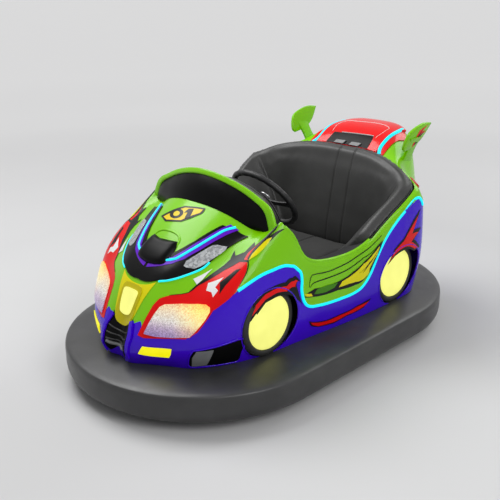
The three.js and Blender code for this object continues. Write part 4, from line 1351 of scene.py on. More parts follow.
    def sides(self) -> None:
        """Door flame, arch flames and the sill line."""
        self.stroke(
            "door_line_upper", Paint.BLACK,
            ((10.75, 4.5), (10.31, 4.84), (9.62, 5.02), (8.94, 4.66), (8.55, 4.32), (8.06, 3.8), (8.0, 2.8)),
            0.0045, 0.0016,
        )
        self.stroke(
            "door_line_lower", Paint.BLACK,
            ((10.63, 3.86), (9.79, 4.5), (8.93, 4.09), (8.47, 3.7), (8.14, 3.27), (8.02, 2.76)), 0.0045,
            0.0018,
        )
        flame_edge = (
            (10.8, 3.5), (10.74, 2.9), (10.62, 2.55), (10.35, 2.3), (9.9, 2.62), (9.45, 2.85), (8.78, 2.74),
            (8.41, 2.42), (8.15, 2.23), (7.85, 1.92), (7.95, 2.25), (8.18, 2.86), (8.77, 3.4), (9.32, 3.92),
            (9.89, 4.18), (10.59, 3.92),
        )
        self.sticker("door_flame_edge", Paint.BLACK, flame_edge, 0.0022)
        flame = (
            (10.66, 3.5), (10.56, 2.95), (10.4, 3.1), (10.2, 2.95), (10.2, 2.5), (9.8, 2.86), (9.44, 3.1),
            (9.13, 3.12), (8.8, 2.98), (8.9, 3.4), (9.32, 3.75), (9.81, 4.04), (10.34, 3.86),
        )
        self.sticker("door_flame", Paint.YELLOW, flame, 0.003)
        self.sticker(
            "door_spark", Paint.YELLOW, ((7.82, 2.06), (8.07, 2.39), (8.12, 2.25), (7.9, 2.02)), 0.003,
        )
        self.sticker(
            "door_flame_cut", Paint.BLACK,
            ((10.6, 3.3), (10.1, 3.45), (9.8, 3.38), (10.0, 3.56), (9.6, 3.6), (10.15, 3.62)), 0.0036,
        )
        self.sticker(
            "door_lozenge", Paint.DARK_GREEN,
            ((8.16, 2.42), (8.24, 2.86), (8.5, 3.2), (8.76, 3.34), (8.68, 3.0), (8.46, 2.66)), 0.003,
        )
        self.sticker(
            "sill_edge", Paint.BLACK,
            (
                (7.9, 1.02), (8.57, 0.86), (9.03, 0.92), (9.83, 0.95), (10.6, 0.7), (10.24, 0.53),
                (9.36, 0.6), (8.84, 0.44), (8.31, 0.6), (8.02, 0.78),
            ),
            0.0016,
        )
        self.sticker(
            "sill_flash", Paint.RED,
            (
                (7.98, 0.96), (8.57, 0.8), (9.03, 0.86), (9.83, 0.89), (10.5, 0.66), (10.2, 0.6),
                (9.36, 0.68), (8.84, 0.54), (8.31, 0.66), (8.08, 0.82),
            ),
            0.0024,
        )
        self.sticker(
            "front_flame_edge", Paint.BLACK,
            (
                (5.3, 1.32), (5.52, 1.64), (5.89, 1.72), (6.26, 1.71), (6.7, 1.7), (7.1, 1.86), (7.5, 2.3),
                (7.66, 2.5), (7.3, 1.78), (7.6, 1.5), (7.2, 1.42), (6.8, 1.46), (6.31, 1.5), (5.88, 1.5),
                (5.5, 1.36),
            ),
            0.0016,
        )
        self.sticker(
            "front_flame", Paint.RED,
            (
                (5.41, 1.42), (5.56, 1.57), (5.89, 1.65), (6.26, 1.65), (6.73, 1.62), (7.15, 1.8),
                (7.5, 2.15), (7.18, 1.68), (6.7, 1.53), (6.31, 1.57), (5.88, 1.56),
            ),
            0.0024,
        )
        self.sticker(
            "rear_flame_edge", Paint.BLACK,
            (
                (11.2, 1.22), (11.42, 1.4), (11.77, 1.4), (12.1, 1.62), (12.5, 1.86), (12.2, 1.42),
                (12.7, 1.5), (12.3, 1.26), (12.75, 1.14), (12.4, 1.04), (11.85, 1.14), (11.47, 1.22),
            ),
            0.0016,
        )
        self.sticker(
            "rear_flame", Paint.RED,
            (
                (11.26, 1.26), (11.45, 1.35), (11.77, 1.34), (12.05, 1.5), (12.36, 1.7), (12.14, 1.36),
                (12.5, 1.4), (12.16, 1.22), (12.6, 1.12), (12.4, 1.08), (11.85, 1.2), (11.47, 1.27),
            ),
            0.0024,
        )


# ---- ring and running gear ---------------------------------------------------------------------
def filleted(corners: Outline, radius: float, steps: int = 4) -> list[tuple[float, float]]:
    """A closed outline with every corner rounded.

    Args:
        corners: its corners in order.
        radius: how far from each corner the rounding starts.
        steps: points per corner.

    Returns:
        The rounded outline.
    """
    made = []
    count = len(corners)
    for i, corner in enumerate(corners):
        here = np.array(corner, float)
        ends = []
        for other in (corners[i - 1], corners[(i + 1) % count]):
            reach = np.array(other, float) - here
            length = np.linalg.norm(reach)
            ends.append(here + reach / length * min(radius, length * 0.45))
        for k in range(steps + 1):
            t = k / steps
            spot = ends[0] * (1 - t) ** 2 + 2 * here * t * (1 - t) + ends[1] * t * t
            made.append((float(spot[0]), float(spot[1])))
    return made


@dataclass
class RubberRing(Assembly):
    """The rubber ring all round the car and the steel channel that holds it."""

    length: float = 1.950
    width: float = 1.169
    base: float = 0.047
    top: float = 0.185
    depth: float = 0.215
    wall: float = 0.006

    def band(self, name: str, section: Outline, steps: int) -> Piece:
        """Runs a section round the car: straight along the sides, half-round at the ends.

        Args:
            name: the piece's name.
            section: (inset from the outer face, height) points.
            steps: facets round each end.

        Returns:
            The closed band.
        """
        straight = (self.length - self.width) / 2
        radius = self.width / 2
        rows = []
        for side, start in ((1, 0.0), (-1, math.pi)):
            for angle in np.linspace(start, start + math.pi, steps + 1):
                way = (math.cos(angle), math.sin(angle))
                rows.append(
                    [((radius - i) * way[0], side * straight + (radius - i) * way[1], z) for i, z in section]
                )
        return Bench.loft(name, np.array(rows), True)

    def build(self) -> None:
        """Builds the ring and its channel."""
        top, base, depth = self.top, self.base, self.depth
        shoulder = top - 0.021
        section = (
            (0.0, base + 0.024), (0.0, shoulder - 0.008), (0.014, shoulder), (0.060, shoulder + 0.008),
            (0.118, top - 0.004), (0.150, top), (depth, top), (depth, base), (0.012, base),
        )
        ring = self.band("rubber_ring", filleted(section, 0.020, 6), 72)
        Bench.smooth(ring, 50)
        self.dress(ring, self.finishes.ring, ["bumper_ring"])
        inner, outer = depth + 0.0003 + self.wall, depth + 0.0003
        channel = ((outer, base + 0.010), (outer, top - 0.003), (inner, top - 0.003), (inner, base + 0.010))
        steel = self.band("channel_steel", channel, 48)
        Bench.smooth(steel, 40)
        self.dress(steel, self.finishes.steel, ["ring_channel"])


@dataclass
class SideWheel(Assembly):
    """A show wheel in one arch: a tyre with a lit disc."""

    name: str = "front_side_wheel"
    node: str = "side_wheel_front"
    centre: Point = (0.412, -0.416, 0.325)
    radius: float = 0.138
    width: float = 0.052
    disc_radius: float = 0.112

    def build(self) -> None:
        """Builds both wheels of the pair."""
        r, w, d = self.radius, self.width, self.disc_radius
        tyre = [
            (-w, 0.0), (-w, r - 0.016), (-w + 0.004, r - 0.006), (-w + 0.010, r - 0.001), (-w + 0.016, r),
            (-0.018, r), (-0.010, r - 0.002), (-0.004, r - 0.008), (-0.001, r - 0.016), (-0.003, d + 0.004),
            (-0.006, d + 0.001), (-0.012, d), (-0.016, d - 0.004), (-0.016, 0.0),
        ]
        rubber = Bench.lathe(f"{self.name}_tyre_left", tyre, self.centre, 96, False)
        Bench.smooth(rubber, 50)
        self.both(rubber, self.finishes.tyre, [f"{self.node}_left", f"{self.node}_right"])
        d -= 0.0006
        lamp = [
            (-0.0155, 0.0), (-0.0155, d - 0.005), (-0.008, d), (-0.004, d - 0.002), (-0.001, d - 0.012),
            (0.001, d * 0.6), (0.0015, 0.0),
        ]
        disc = Bench.lathe(f"{self.name}_disc_left", lamp, self.centre, 96, False)
        Bench.smooth(disc, 50)
        self.both(disc, self.finishes.disc, [f"{self.node}_left", f"{self.node}_right"])


@dataclass
class RoadWheel(Assembly):
    """A small wheel that carries the car on the floor."""

    name: str = "driving"
    node: str = "drive_wheel"
    centre: Point = (0.0, -0.520, 0.095)
    radius: float = 0.095
    width: float = 0.056
    bore: float = 0.0103

    def build(self) -> None:
        """Builds the tyre and the steel hub."""
        r, half, hub = self.radius, self.width / 2, self.radius * 0.58
        tread = [(-half, hub), (-half, r - 0.010), (-half + 0.003, r - 0.004), (-half + 0.008, r)]
        for groove in (-half * 0.4, half * 0.4):
            tread += [
                (groove - 0.003, r), (groove - 0.002, r - 0.004), (groove + 0.002, r - 0.004),
                (groove + 0.003, r),
            ]
        tread += [(half - 0.008, r), (half - 0.003, r - 0.004), (half, r - 0.010), (half, hub)]
        tyre = Bench.lathe(f"{self.name}_tyre", tread, self.centre, 80)
        Bench.smooth(tyre, 40)
        self.dress(tyre, self.finishes.tyre, [self.node])
        b = self.bore
        web = [
            (-half, b), (-half, 0.024), (-half * 0.4, 0.026),
            (-half * 0.4, hub - 0.006), (-half, hub - 0.004),
            (-half, hub), (half, hub), (half, hub - 0.004),
            (half * 0.4, hub - 0.006), (half * 0.4, 0.026), (half, 0.024), (half, b),
        ]
        disc = Bench.lathe(f"{self.name}_hub", web, self.centre, 64)
        Bench.smooth(disc, 40)
        self.dress(disc, self.finishes.steel, [self.node])


@dataclass
class Underside(Assembly):
    """Plate, posts, axle, fork and column, which keep the frame's own meshes."""

    nodes: dict[str, Piece] = field(default_factory=dict)

    def build(self) -> None:
        """Gives each carried-over piece its finish."""
        painted = {
            "chassis_frame": self.finishes.steel,
            "drive_plate": self.finishes.steel,
            "drive_fork": self.finishes.steel,
            "rear_axle": self.finishes.steel,
            "steering_column": self.finishes.bright,
            "seat_base": self.finishes.plastic,
            "battery_pack": self.finishes.plastic,
        }
        for name, finish in painted.items():
            mesh = self.nodes[name].data
            mesh.materials.clear()
            mesh.materials.append(finish)
            LOG.info("%s keeps its frame mesh", name)


# ---- front of the car --------------------------------------------------------------------------
@dataclass
class Nose(Assembly):
    """Lamps, grille, hood mask and scoop."""

    lens_lift: float = 0.007

    def build(self) -> None:
        """Builds every piece of the nose."""
        self.headlamps()
        self.nose_lamp()
        self.mask()
        self.scoop()
        self.grille()
        self.fog_lamps()

    def headlamps(self) -> None:
        """Two pebbled lenses in black rims."""
        outline = (
            (1.95, 1.58), (2.0, 1.82), (2.08, 2.11), (2.17, 2.33), (2.3, 2.4), (2.79, 2.46), (3.32, 2.45),
            (3.62, 2.39), (3.8, 2.27), (3.85, 2.12), (3.76, 1.9), (3.56, 1.59), (3.42, 1.42), (2.93, 1.42),
            (2.4, 1.48),
        )
        self.lay("headlamp_rim_left", outline, (0.003, 0.0026), self.finishes.red)
        middle = np.array(outline).mean(0)
        inner = [tuple(middle + (np.array(p) - middle) * 0.965) for p in outline]
        lens = self.surface.film("headlamp_lens_left", inner, self.lens_lift, self.lens_lift - 0.0006)
        Bench.soften(lens, 0.003, 3)
        self.place_lamp(lens)
        Bench.smooth(lens, 60)
        self.both(lens, self.finishes.lens, ["headlamp_left", "headlamp_right"])

    @staticmethod
    def place_lamp(lens: Piece) -> None:
        """Stores where each point lies across and up the lens."""
        points = Bench.points(lens)
        across = points[:, 0] * 0.75 + points[:, 1] * 0.66
        place = np.zeros_like(points)
        place[:, 0] = (across - across.min()) / np.ptp(across)
        place[:, 1] = (points[:, 2] - points[:, 2].min()) / np.ptp(points[:, 2])
        store = lens.data.attributes.new("lamp_place", "FLOAT_VECTOR", "POINT")
        store.data.foreach_set("vector", place.ravel())

    def nose_lamp(self) -> None:
        """The lit lamp on the nose and its dull yellow housing."""
        housing = (
            (-0.72, 2.95), (0.72, 2.95), (0.86, 2.4), (0.8, 2.02), (0.45, 1.84), (-0.45, 1.84), (-0.8, 2.02),
            (-0.86, 2.4),
        )
        self.lay(
            "nose_lamp_housing", housing, (0.004, 0.0034), self.finishes.vinyl[Paint.MUSTARD], ["nose_lamp"],
            smooth=True,
        )
        lamp = (
            (-0.58, 2.82), (0.0, 2.88), (0.58, 2.82), (0.62, 2.6), (0.52, 2.28), (0.3, 2.2), (-0.3, 2.2),
            (-0.52, 2.28), (-0.62, 2.6),
        )
        glass = self.surface.film("nose_lamp_glass", lamp, 0.009, 0.006, True)
        Bench.soften(glass, 0.0025, 3)
        Bench.smooth(glass, 60)
        self.dress(glass, self.finishes.disc, ["nose_lamp"])

    def mask(self) -> None:
        """The black gloss band over the hood with its light strips and lens insets."""
        half = (
            (0.0, 3.18), (0.28, 3.16), (1.23, 3.12), (1.94, 3.07), (2.27, 3.23), (2.6, 3.61), (2.79, 3.94),
            (2.91, 4.29), (2.97, 4.57), (3.04, 4.87), (3.1, 5.13), (3.17, 5.43), (2.53, 5.56), (2.03, 5.48),
            (1.88, 5.04), (1.71, 4.64), (1.44, 4.34), (1.16, 4.14), (0.0, 4.1),
        )
        outline = [*half[:-1], *[(-v, u) for v, u in reversed(half) if v]]
        outline.insert(len(half) - 1, half[-1])
        self.lay("hood_band", outline, (0.004, 0.0036), self.finishes.mask, ["hood_mask"])
        line = (
            (0.13, 3.74), (0.88, 3.85), (1.44, 3.91), (1.69, 4.02), (2.0, 4.48), (2.19, 4.98), (2.28, 5.35),
            (2.43, 5.64),
        )
        trough = (
            (0.1, 3.56), (1.63, 3.74), (1.97, 3.96), (2.24, 4.45), (2.41, 4.95), (2.52, 5.36), (2.6, 5.6),
            (2.22, 5.64), (2.13, 5.35), (1.98, 4.84), (1.66, 4.29), (1.33, 3.99), (0.1, 3.88),
        )
        self.lay("hood_trough_left", trough, (0.0052, 0.0014), self.finishes.vinyl[Paint.PURPLE])
        self.strip("hood_light_left", line, (0.0115, 0.0095), self.finishes.cyan)
        inset = (
            (2.19, 3.72), (2.13, 3.93), (2.47, 4.73), (2.6, 4.8), (2.96, 4.82), (3.03, 4.68), (3.0, 4.54),
            (2.72, 3.95), (2.58, 3.77), (2.31, 3.69),
        )
        self.lay("hood_inset_left", inset, (0.0062, 0.002), self.finishes.inset, edge=0.0012)
        self.strip(
            "hood_edge_light_left",
            ((1.6, 3.06), (1.97, 3.06), (2.28, 3.21), (2.6, 3.59), (2.81, 3.92), (2.86, 4.17)),
            (0.007, 0.006), self.finishes.cyan,
        )

    def scoop(self) -> None:
        """The dark air scoop in the middle of the hood, with a domed roof."""
        rows = []
        shape = (
            (1.12, 3.68, 0.002), (1.16, 3.72, 0.012), (1.16, 3.80, 0.017), (1.15, 4.0, 0.018),
            (1.08, 4.2, 0.016), (0.96, 4.36, 0.012), (0.90, 4.42, 0.001),
        )
        for v_half, u, rise in shape:
            ring = []
            for t in np.linspace(-1, 1, 25):
                height = rise * (1 - abs(t) ** 7) + 0.004
                ring.append(self.surface.above(v_half * t, u + 0.05 * t * t, height))
            for t in np.linspace(1, -1, 25):
                ring.append(self.surface.above(v_half * t, u + 0.05 * t * t, -0.004))
            rows.append(ring)
        block = Bench.loft("hood_scoop", rounded(np.array(rows), False, 5), False)
        Bench.smooth(block, 40)
        self.dress(block, self.finishes.screen)
        crest = ((-0.98, 4.34), (-0.86, 4.56), (-0.4, 4.7), (0.4, 4.7), (0.86, 4.56), (0.98, 4.34))
        self.strip("scoop_crest", crest, (0.010, 0.0035), self.finishes.green)

    def grille(self) -> None:
        """The black mouth below the nose, with its bars and lip."""
        mouth = (
            (-0.97, 2.06), (-0.8, 1.95), (-0.45, 1.86), (0.45, 1.86), (0.8, 1.95), (0.97, 2.06), (1.14, 1.5),
            (1.14, 0.62), (0.75, 0.3), (0.0, 0.72), (-0.75, 0.3), (-1.14, 0.62), (-1.14, 1.5),
        )
        self.lay("mouth_black", mouth, (0.0016, 0.0012), self.finishes.screen, ["grille"])
        for index, (row, reach) in enumerate(((1.6, 0.98), (1.32, 1.0), (1.04, 0.96))):
            bar = self.surface.ribbon(
                f"mouth_bar_{index}",
                ((-reach, row), (-0.5, row - 0.05), (0.0, row - 0.08), (0.5, row - 0.05), (reach, row)),
                0.006, 0.007,
            )
            self.dress(bar, self.finishes.plastic)
        self.strip(
            "mouth_lip", ((-0.92, 0.9), (-0.5, 0.78), (0.0, 0.74), (0.5, 0.78), (0.92, 0.9)), (0.014, 0.009),
            self.finishes.grey,
        )
        fang = ((0.86, 1.98), (1.12, 1.55), (1.2, 0.7), (0.98, 0.22), (1.34, 0.5), (1.4, 1.5), (1.1, 2.0))
        self.lay("mouth_fang_left", fang, (0.009, 0.0084), self.finishes.blue, edge=0.003, shading=60)

    def fog_lamps(self) -> None:
        """Fog lamps, intakes and their grey inserts."""
        bar = ((1.9, 0.91), (2.04, 1.2), (2.5, 1.14), (2.98, 1.06), (2.99, 0.84), (2.95, 0.7), (2.4, 0.8))
        self.lay("fog_lamp_left", bar, (0.005, 0.0044), self.finishes.fog, edge=0.0012)
        mouth = (
            (3.66, 0.98), (4.3, 1.03), (5.14, 1.03), (5.12, 0.6), (5.09, 0.16), (4.83, 0.12), (4.17, 0.14),
            (3.72, 0.18), (3.6, 0.7),
        )
        self.lay("intake_left", mouth, (0.0018, 0.0014), self.finishes.screen)
        insert = ((3.76, 0.95), (4.27, 0.94), (4.24, 0.27), (3.8, 0.23), (3.7, 0.7))
        self.lay("intake_insert_left", insert, (0.0045, 0.003), self.finishes.grey, edge=0.0012)
        self.strip("intake_frame_left", (*mouth, mouth[0]), (0.006, 0.004), self.finishes.blue, smooth=3)


@dataclass
class LightStrips(Assembly):
    """The lit strips along both sides."""

    def build(self) -> None:
        """Lays each strip along the colour line."""
        self.strip("side_light_left", LIGHT_LINE[:-1], (0.0115, 0.0055), self.finishes.cyan)


# ---- windscreen and dashboard --------------------------------------------------------------------
@dataclass
class Windscreen(Assembly):
    """The smoked screen, its thick green frame and the dashboard cowl behind it."""

    frame_half: tuple[Point, ...] = (
        (0.354, -0.342, 0.655), (0.322, -0.338, 0.735), (0.252, -0.341, 0.776), (0.179, -0.350, 0.806),
        (0.090, -0.362, 0.829), (0.0, -0.368, 0.838),
    )
    rear_half: tuple[Point, ...] = (
        (0.318, -0.262, 0.610), (0.305, -0.255, 0.668), (0.238, -0.235, 0.722), (0.168, -0.228, 0.752),
        (0.085, -0.222, 0.772), (0.0, -0.220, 0.780),
    )
    band: float = 0.024
    depth: float = 0.018

    @staticmethod
    def arch(half: Sequence[Sequence[float]], steps: int = 8) -> Array:
        """The whole curve from the left foot over the top to the right foot."""
        left = np.array(half, float)
        right = left[:-1][::-1] * np.array([-1.0, 1.0, 1.0])
        return rounded(np.concatenate([left, right]), False, steps)

    def build(self) -> None:
        """Builds the frame, the screen and the cowl."""
        low = ((0.372, -0.352, 0.600), (0.366, -0.346, 0.628), *self.frame_half)
        path = self.arch(low)
        ahead = np.gradient(path, axis=0)
        ahead /= np.linalg.norm(ahead, axis=1, keepdims=True)
        front = np.tile([0.0, -0.86, 0.5], (len(path), 1))
        front -= ahead * np.sum(front * ahead, axis=1, keepdims=True)
        front /= np.linalg.norm(front, axis=1, keepdims=True)
        out = np.cross(front, ahead)
        foot = np.abs(path[:, 0]) / 0.354
        swell = 1 + 0.55 * np.clip(foot - 0.8, 0, 1) / 0.2
        outline = filleted(((-0.5, -0.5), (0.5, -0.5), (0.5, 0.5), (-0.5, 0.5)), 0.34, 4)
        rows = np.stack(
            [path + out * (a * self.band * swell)[:, None] + front * b * self.depth for a, b in outline], 1,
        )
        frame = Bench.loft("screen_frame", rows, False)
        Bench.smooth(frame, 60)
        self.dress(frame, self.finishes.green, ["windscreen_frame"])
        self.screen()
        self.cowl()

    def screen(self) -> None:
        """The smoked panel, between the hood's edge and the frame."""
        top = self.arch([(x * 0.985, y - 0.002, z - 0.006) for x, y, z in self.frame_half])

        def place(s: Array, t: Array) -> Array:
            head = np.stack(
                [np.interp(s * (len(top) - 1), np.arange(len(top)), top[:, k]) for k in range(3)], 1,
            )
            foot = self.surface.point(3.3 - 6.6 * s, np.full_like(s, 5.97))
            bow = np.sin(math.pi * t)[:, None] * np.array([0.0, -0.008, 0.004])
            return foot * (1 - t[:, None]) + head * t[:, None] + bow

        panel = Bench.grid("smoked_panel", 80, 8, place)
        Bench.modify(panel, "SOLIDIFY", thickness=0.004, offset=0.0)
        Bench.tidy(panel, 1e-6)
        Bench.smooth(panel, 50)
        self.dress(panel, self.finishes.screen, ["windscreen"], "tinted")

    def cowl(self) -> None:
        """The dark cowl over the dashboard with its padded rear edge."""
        front = self.arch([(x * 0.96, y + 0.012, z - 0.010) for x, y, z in self.frame_half])
        rear = self.arch(self.rear_half)

        def place(s: Array, t: Array) -> Array:
            near = np.stack(
                [np.interp(s * (len(front) - 1), np.arange(len(front)), front[:, k]) for k in range(3)], 1,
            )
            far = np.stack(
                [np.interp(s * (len(rear) - 1), np.arange(len(rear)), rear[:, k]) for k in range(3)], 1,
            )
            bow = np.sin(math.pi * t)[:, None] * np.array([0.0, 0.0, 0.006])
            return near * (1 - t[:, None]) + far * t[:, None] + bow

        hood = Bench.grid("dashboard_cowl", 80, 10, place)
        Bench.modify(hood, "SOLIDIFY", thickness=0.007, offset=0.0)
        Bench.tidy(hood, 1e-6)
        Bench.smooth(hood, 50)
        self.dress(hood, self.finishes.cowl, ["dashboard"])
        edge = Bench.tube("dashboard_edge", rear, 0.009, sides=14)
        self.dress(edge, self.finishes.mask, ["dashboard"], "plastic")


@dataclass
class SteeringWheel(Assembly):
    """Rim, three spokes and a boss that turn together."""

    body: str = "steering"
    centre: Point = (0.0, -0.020, 0.660)
    tilt: tuple[float, float] = (0.8, 0.6)
    radius: float = 0.160
    rim: float = 0.0138

    def turn(self) -> float:
        """How far the wheel's flat lies from level, about X."""
        return -math.atan2(self.tilt[0], self.tilt[1])

    def stand(self, piece: Piece) -> Piece:
        """Moves a piece made flat at the origin onto the column."""
        lift = Matrix.Translation(Vector(self.centre)) @ Matrix.Rotation(self.turn(), 4, "X")
        piece.data.transform(lift)
        return piece

    def build(self) -> None:
        """Builds the wheel."""
        Bench.clear()
        bpy.ops.mesh.primitive_torus_add(
            major_radius=self.radius, minor_radius=self.rim, major_segments=96, minor_segments=24,
        )
        rim = Bench.named("wheel_rim")
        for point in rim.data.vertices:
            angle = math.atan2(point.co.y, point.co.x)
            around = Vector((math.cos(angle), math.sin(angle), 0)) * self.radius
            offset = point.co - around
            grip = 0.90 + 0.10 * abs(math.sin(angle * 12)) ** 0.5
            point.co = around + offset * grip
        self.stand(rim)
        Bench.smooth(rim, 60)
        self.dress(rim, self.finishes.plastic, ["steering_wheel"])
        for index, degrees in enumerate((0, 90, 180)):
            self.spoke(index, math.radians(degrees))
        self.boss()

    def spoke(self, index: int, angle: float) -> None:
        """One flat spoke, waisted in the middle."""
        reach = self.radius - 0.006
        rows = []
        for t in np.linspace(0, 1, 15):
            half = 0.017 - 0.005 * math.sin(math.pi * t)
            z = -0.012 + 0.012 * t * t
            along = np.array([math.cos(angle), math.sin(angle), 0.0]) * (0.030 + (reach - 0.030) * t)
            across = np.array([-math.sin(angle), math.cos(angle), 0.0])
            rows.append(
                [
                    along + across * a + np.array([0, 0, z + b]) for a,
                    b in filleted(((-half, -0.004), (half, -0.004), (half, 0.004), (-half, 0.004)), 0.003, 2)
                ]
            )
        piece = self.stand(Bench.loft(f"wheel_spoke_{index}", np.array(rows), False))
        Bench.smooth(piece, 50)
        self.dress(piece, self.finishes.plastic, ["steering_wheel"])

    def boss(self) -> None:
        """The hub with a domed pad."""
        profile = [
            (-0.031, 0.0), (-0.031, 0.046), (-0.024, 0.048), (-0.004, 0.043), (0.002, 0.038), (0.007, 0.024),
            (0.009, 0.0),
        ]
        hub = Bench.lathe("wheel_boss", profile, (0, 0, 0), 64, False)
        hub.data.transform(Matrix.Rotation(-math.pi / 2, 4, "Y"))
        self.stand(hub)
        Bench.smooth(hub, 50)
        self.dress(hub, self.finishes.plastic, ["steering_wheel"])
        ring = Bench.lathe(
            "wheel_boss_ring",
            filleted(((0.004, 0.031), (0.008, 0.031), (0.008, 0.026), (0.004, 0.026)), 0.001, 2), (0, 0, 0),
            64,
        )
        ring.data.transform(Matrix.Rotation(-math.pi / 2, 4, "Y"))
        self.stand(ring)
        self.dress(ring, self.finishes.bright, ["steering_wheel"])


# ---- cockpit ---------------------------------------------------------------------------------------
@dataclass
class Cockpit(Assembly):
    """Tub, bench cushion, wrap-round seat back and pedal."""

    front: float = -0.335
    rear: float = 0.485
    half_width: float = 0.330
    knee: float = 0.455
    floor: float = 0.205
    cushion_low: Point = (-0.262, 0.030, 0.3003)
    cushion_high: Point = (0.262, 0.395, 0.400)
    seams: tuple[float, ...] = (0.008, 0.098)
    arm_round: float = 0.035

    def rim(self, v: float, inward: float, rise: float = 0.0) -> Array:
        """A point inside the opening's edge."""
        p = self.surface.point(v, 6.0).copy()
        out = np.array([p[0], p[1] - 0.06, 0.0])
        out /= np.linalg.norm(out)
        return p - out * inward + np.array([0, 0, rise])

    def wall(self, v: float, inward: float, z: float) -> Array:
        """A point on the cockpit's wall at a height."""
        p = self.rim(v, inward)
        half = self.half_width - inward
        middle = (self.front + self.rear) / 2
        reach = (self.rear - self.front) / 2 - inward
        return np.array([self.held(p[0], half), middle + self.held(p[1] - middle, reach), z])

    @staticmethod
    def held(value: float, limit: float) -> float:
        """A value kept within a limit, with a soft turn near it."""
        return float(value / (1 + abs(value / limit) ** 8) ** 0.125)

    def build(self) -> None:
        """Builds the cockpit."""
        self.tub()
        self.seat_back()
        self.cushion()
        self.pedal()

    def tub(self) -> None:
        """The moulded tub under the seat and footwell."""
        inset = 0.008
        columns = 160
        rows = []
        for k in range(columns):
            v = SPAN * k / columns
            nearest = min(v, SPAN - v)
            drop = -0.038 + 0.032 * float(np.clip((nearest - 5.0) / 0.5, 0, 1))
            rim = self.rim(v, inset, drop)
            knee_z = min(self.knee, rim[2] - drop - 0.045)
            line = np.array(
                [
                    rim, self.wall(v, inset, knee_z), self.wall(v, inset, (knee_z + self.floor) / 2),
                    self.wall(v, inset, self.floor),
                ]
            )
            middle = np.array([0.0, (self.front + self.rear) / 2, self.floor])
            shrink = [line[3] * (1 - t) + middle * t for t in (0.15, 0.5, 0.999)]
            rows.append([*rounded(line, False, 4), *shrink])
        points = np.array(rows)
        count = points.shape[1]
        faces = []
        for i in range(columns):
            a, b = i * count, ((i + 1) % columns) * count
            for j in range(count - 1):
                faces.append((a + j, a + j + 1, b + j + 1, b + j))
        piece = Bench.mesh("moulded_tub", points.reshape(-1, 3), faces)
        Bench.tidy(piece, 2e-4)
        Bench.modify(piece, "SOLIDIFY", thickness=0.004, offset=-1.0)
        Bench.smooth(piece, 40)
        self.dress(piece, self.finishes.plastic, ["cockpit_tub"])

    def inflate(self, piece: Piece, voxel: float, cap: float, pinned: Callable[[Array], Array]) -> None:
        """Fills a closed form so that its faces crown between their edges.

        Args:
            piece: the closed form.
            voxel: size of its new faces.
            cap: the furthest a point may move.
            pinned: gives, from the points, how firmly each is held, 0 to 1.
        """
        Bench.modify(piece, "REMESH", mode="VOXEL", voxel_size=voxel, use_smooth_shade=True)
        Bench.modify(piece, "SMOOTH", factor=0.5, iterations=12)
        before = Bench.points(piece)
        hold = piece.vertex_groups.new(name="hold")
        weights = pinned(before)
        for index, weight in enumerate(weights):
            if weight > 0.01:
                hold.add([index], float(weight), "REPLACE")
        cloth = piece.modifiers.new("Fill", "CLOTH")
        cloth.settings.quality = 5
        cloth.settings.use_pressure = True
        cloth.settings.uniform_pressure_force = 4.0
        cloth.settings.effector_weights.gravity = 0.0
        cloth.settings.vertex_group_mass = hold.name
        cloth.point_cache.frame_end = 20
        for frame in range(1, 21):
            bpy.context.scene.frame_set(frame)
        shown = piece.evaluated_get(bpy.context.evaluated_depsgraph_get())
        after = Bench.points(shown)
        move = after - before
        length = np.linalg.norm(move, axis=1, keepdims=True)
        move *= np.minimum(1.0, cap / np.maximum(length, 1e-9))
        piece.modifiers.remove(cloth)
        Bench.move(piece, before + move)
        bpy.context.scene.frame_set(1)
        Bench.modify(piece, "SMOOTH", factor=0.5, iterations=14)
        Bench.modify(piece, "SUBSURF", levels=1, render_levels=1)

    def press(self, piece: Piece, depth: float, reach: float, where: Callable[[Array], Array]) -> None:
        """Presses a sewn channel into a cushion.

        Args:
            piece: the cushion.
            depth: how deep the channel is.
            reach: half its width.
            where: gives each point's distance from the seam.
        """
        points = Bench.points(piece)
        sink = depth * np.exp(-((where(points) / reach) ** 2))
        Bench.move(piece, points - Bench.points(piece, "normal") * sink[:, None])

    def seat_back(self) -> None:
        """One padded shell from arm to arm with a rolled top edge and two sewn channels."""
        rows = []
        for v in np.arange(10.02, 21.99, 0.06):
            face = [self.wall(v, 0.058, 0.425), self.wall(v, 0.060, 0.310)]
            brow = self.rim(v, 0.078, -0.008)
            section = np.array(
                [
                    self.rim(v, 0.0145, -0.008),
                    self.rim(v, 0.019, 0.009),
                    self.rim(v, 0.038, 0.020),
                    self.rim(v, 0.060, 0.015),
                    brow,
                    brow * 0.62 + face[0] * 0.38,
                    brow * 0.25 + face[0] * 0.75,
                    *face,
                    self.wall(v, 0.030, 0.306),
                    self.wall(v, 0.018, 0.400),
                ]
            )
            rows.append(rounded(section, True, 3))
        shell = np.array(rows)
        hearts = shell.mean(axis=1)
        run = np.r_[0, np.cumsum(np.linalg.norm(np.diff(hearts, axis=0), axis=1))]
        to_end = np.minimum(run, run[-1] - run)
        near = np.clip(1 - to_end / self.arm_round, 0, 1)
        shrink = 1 - 0.75 * (1 - np.sqrt(1 - near**2))
        shell = hearts[:, None] + (shell - hearts[:, None]) * shrink[:, None, None]
        piece = Bench.loft("padded_seat_back", shell, False)
        outer = np.array([self.rim(v, 0.0, -0.02) for v in np.arange(10, 22.01, 0.1)])
        ends = float(hearts[0, 1]) + 0.08

        def pinned(points: Array) -> Array:
            gap = np.min(np.linalg.norm(points[:, None, :2] - outer[None, :, :2], axis=2), axis=1)
            low = np.clip((0.33 - points[:, 2]) / 0.02, 0, 1)
            arm = np.clip((ends - points[:, 1]) / 0.03, 0, 1)
            return np.clip(np.maximum.reduce([1.4 - gap / 0.045, low, arm]), 0, 1)

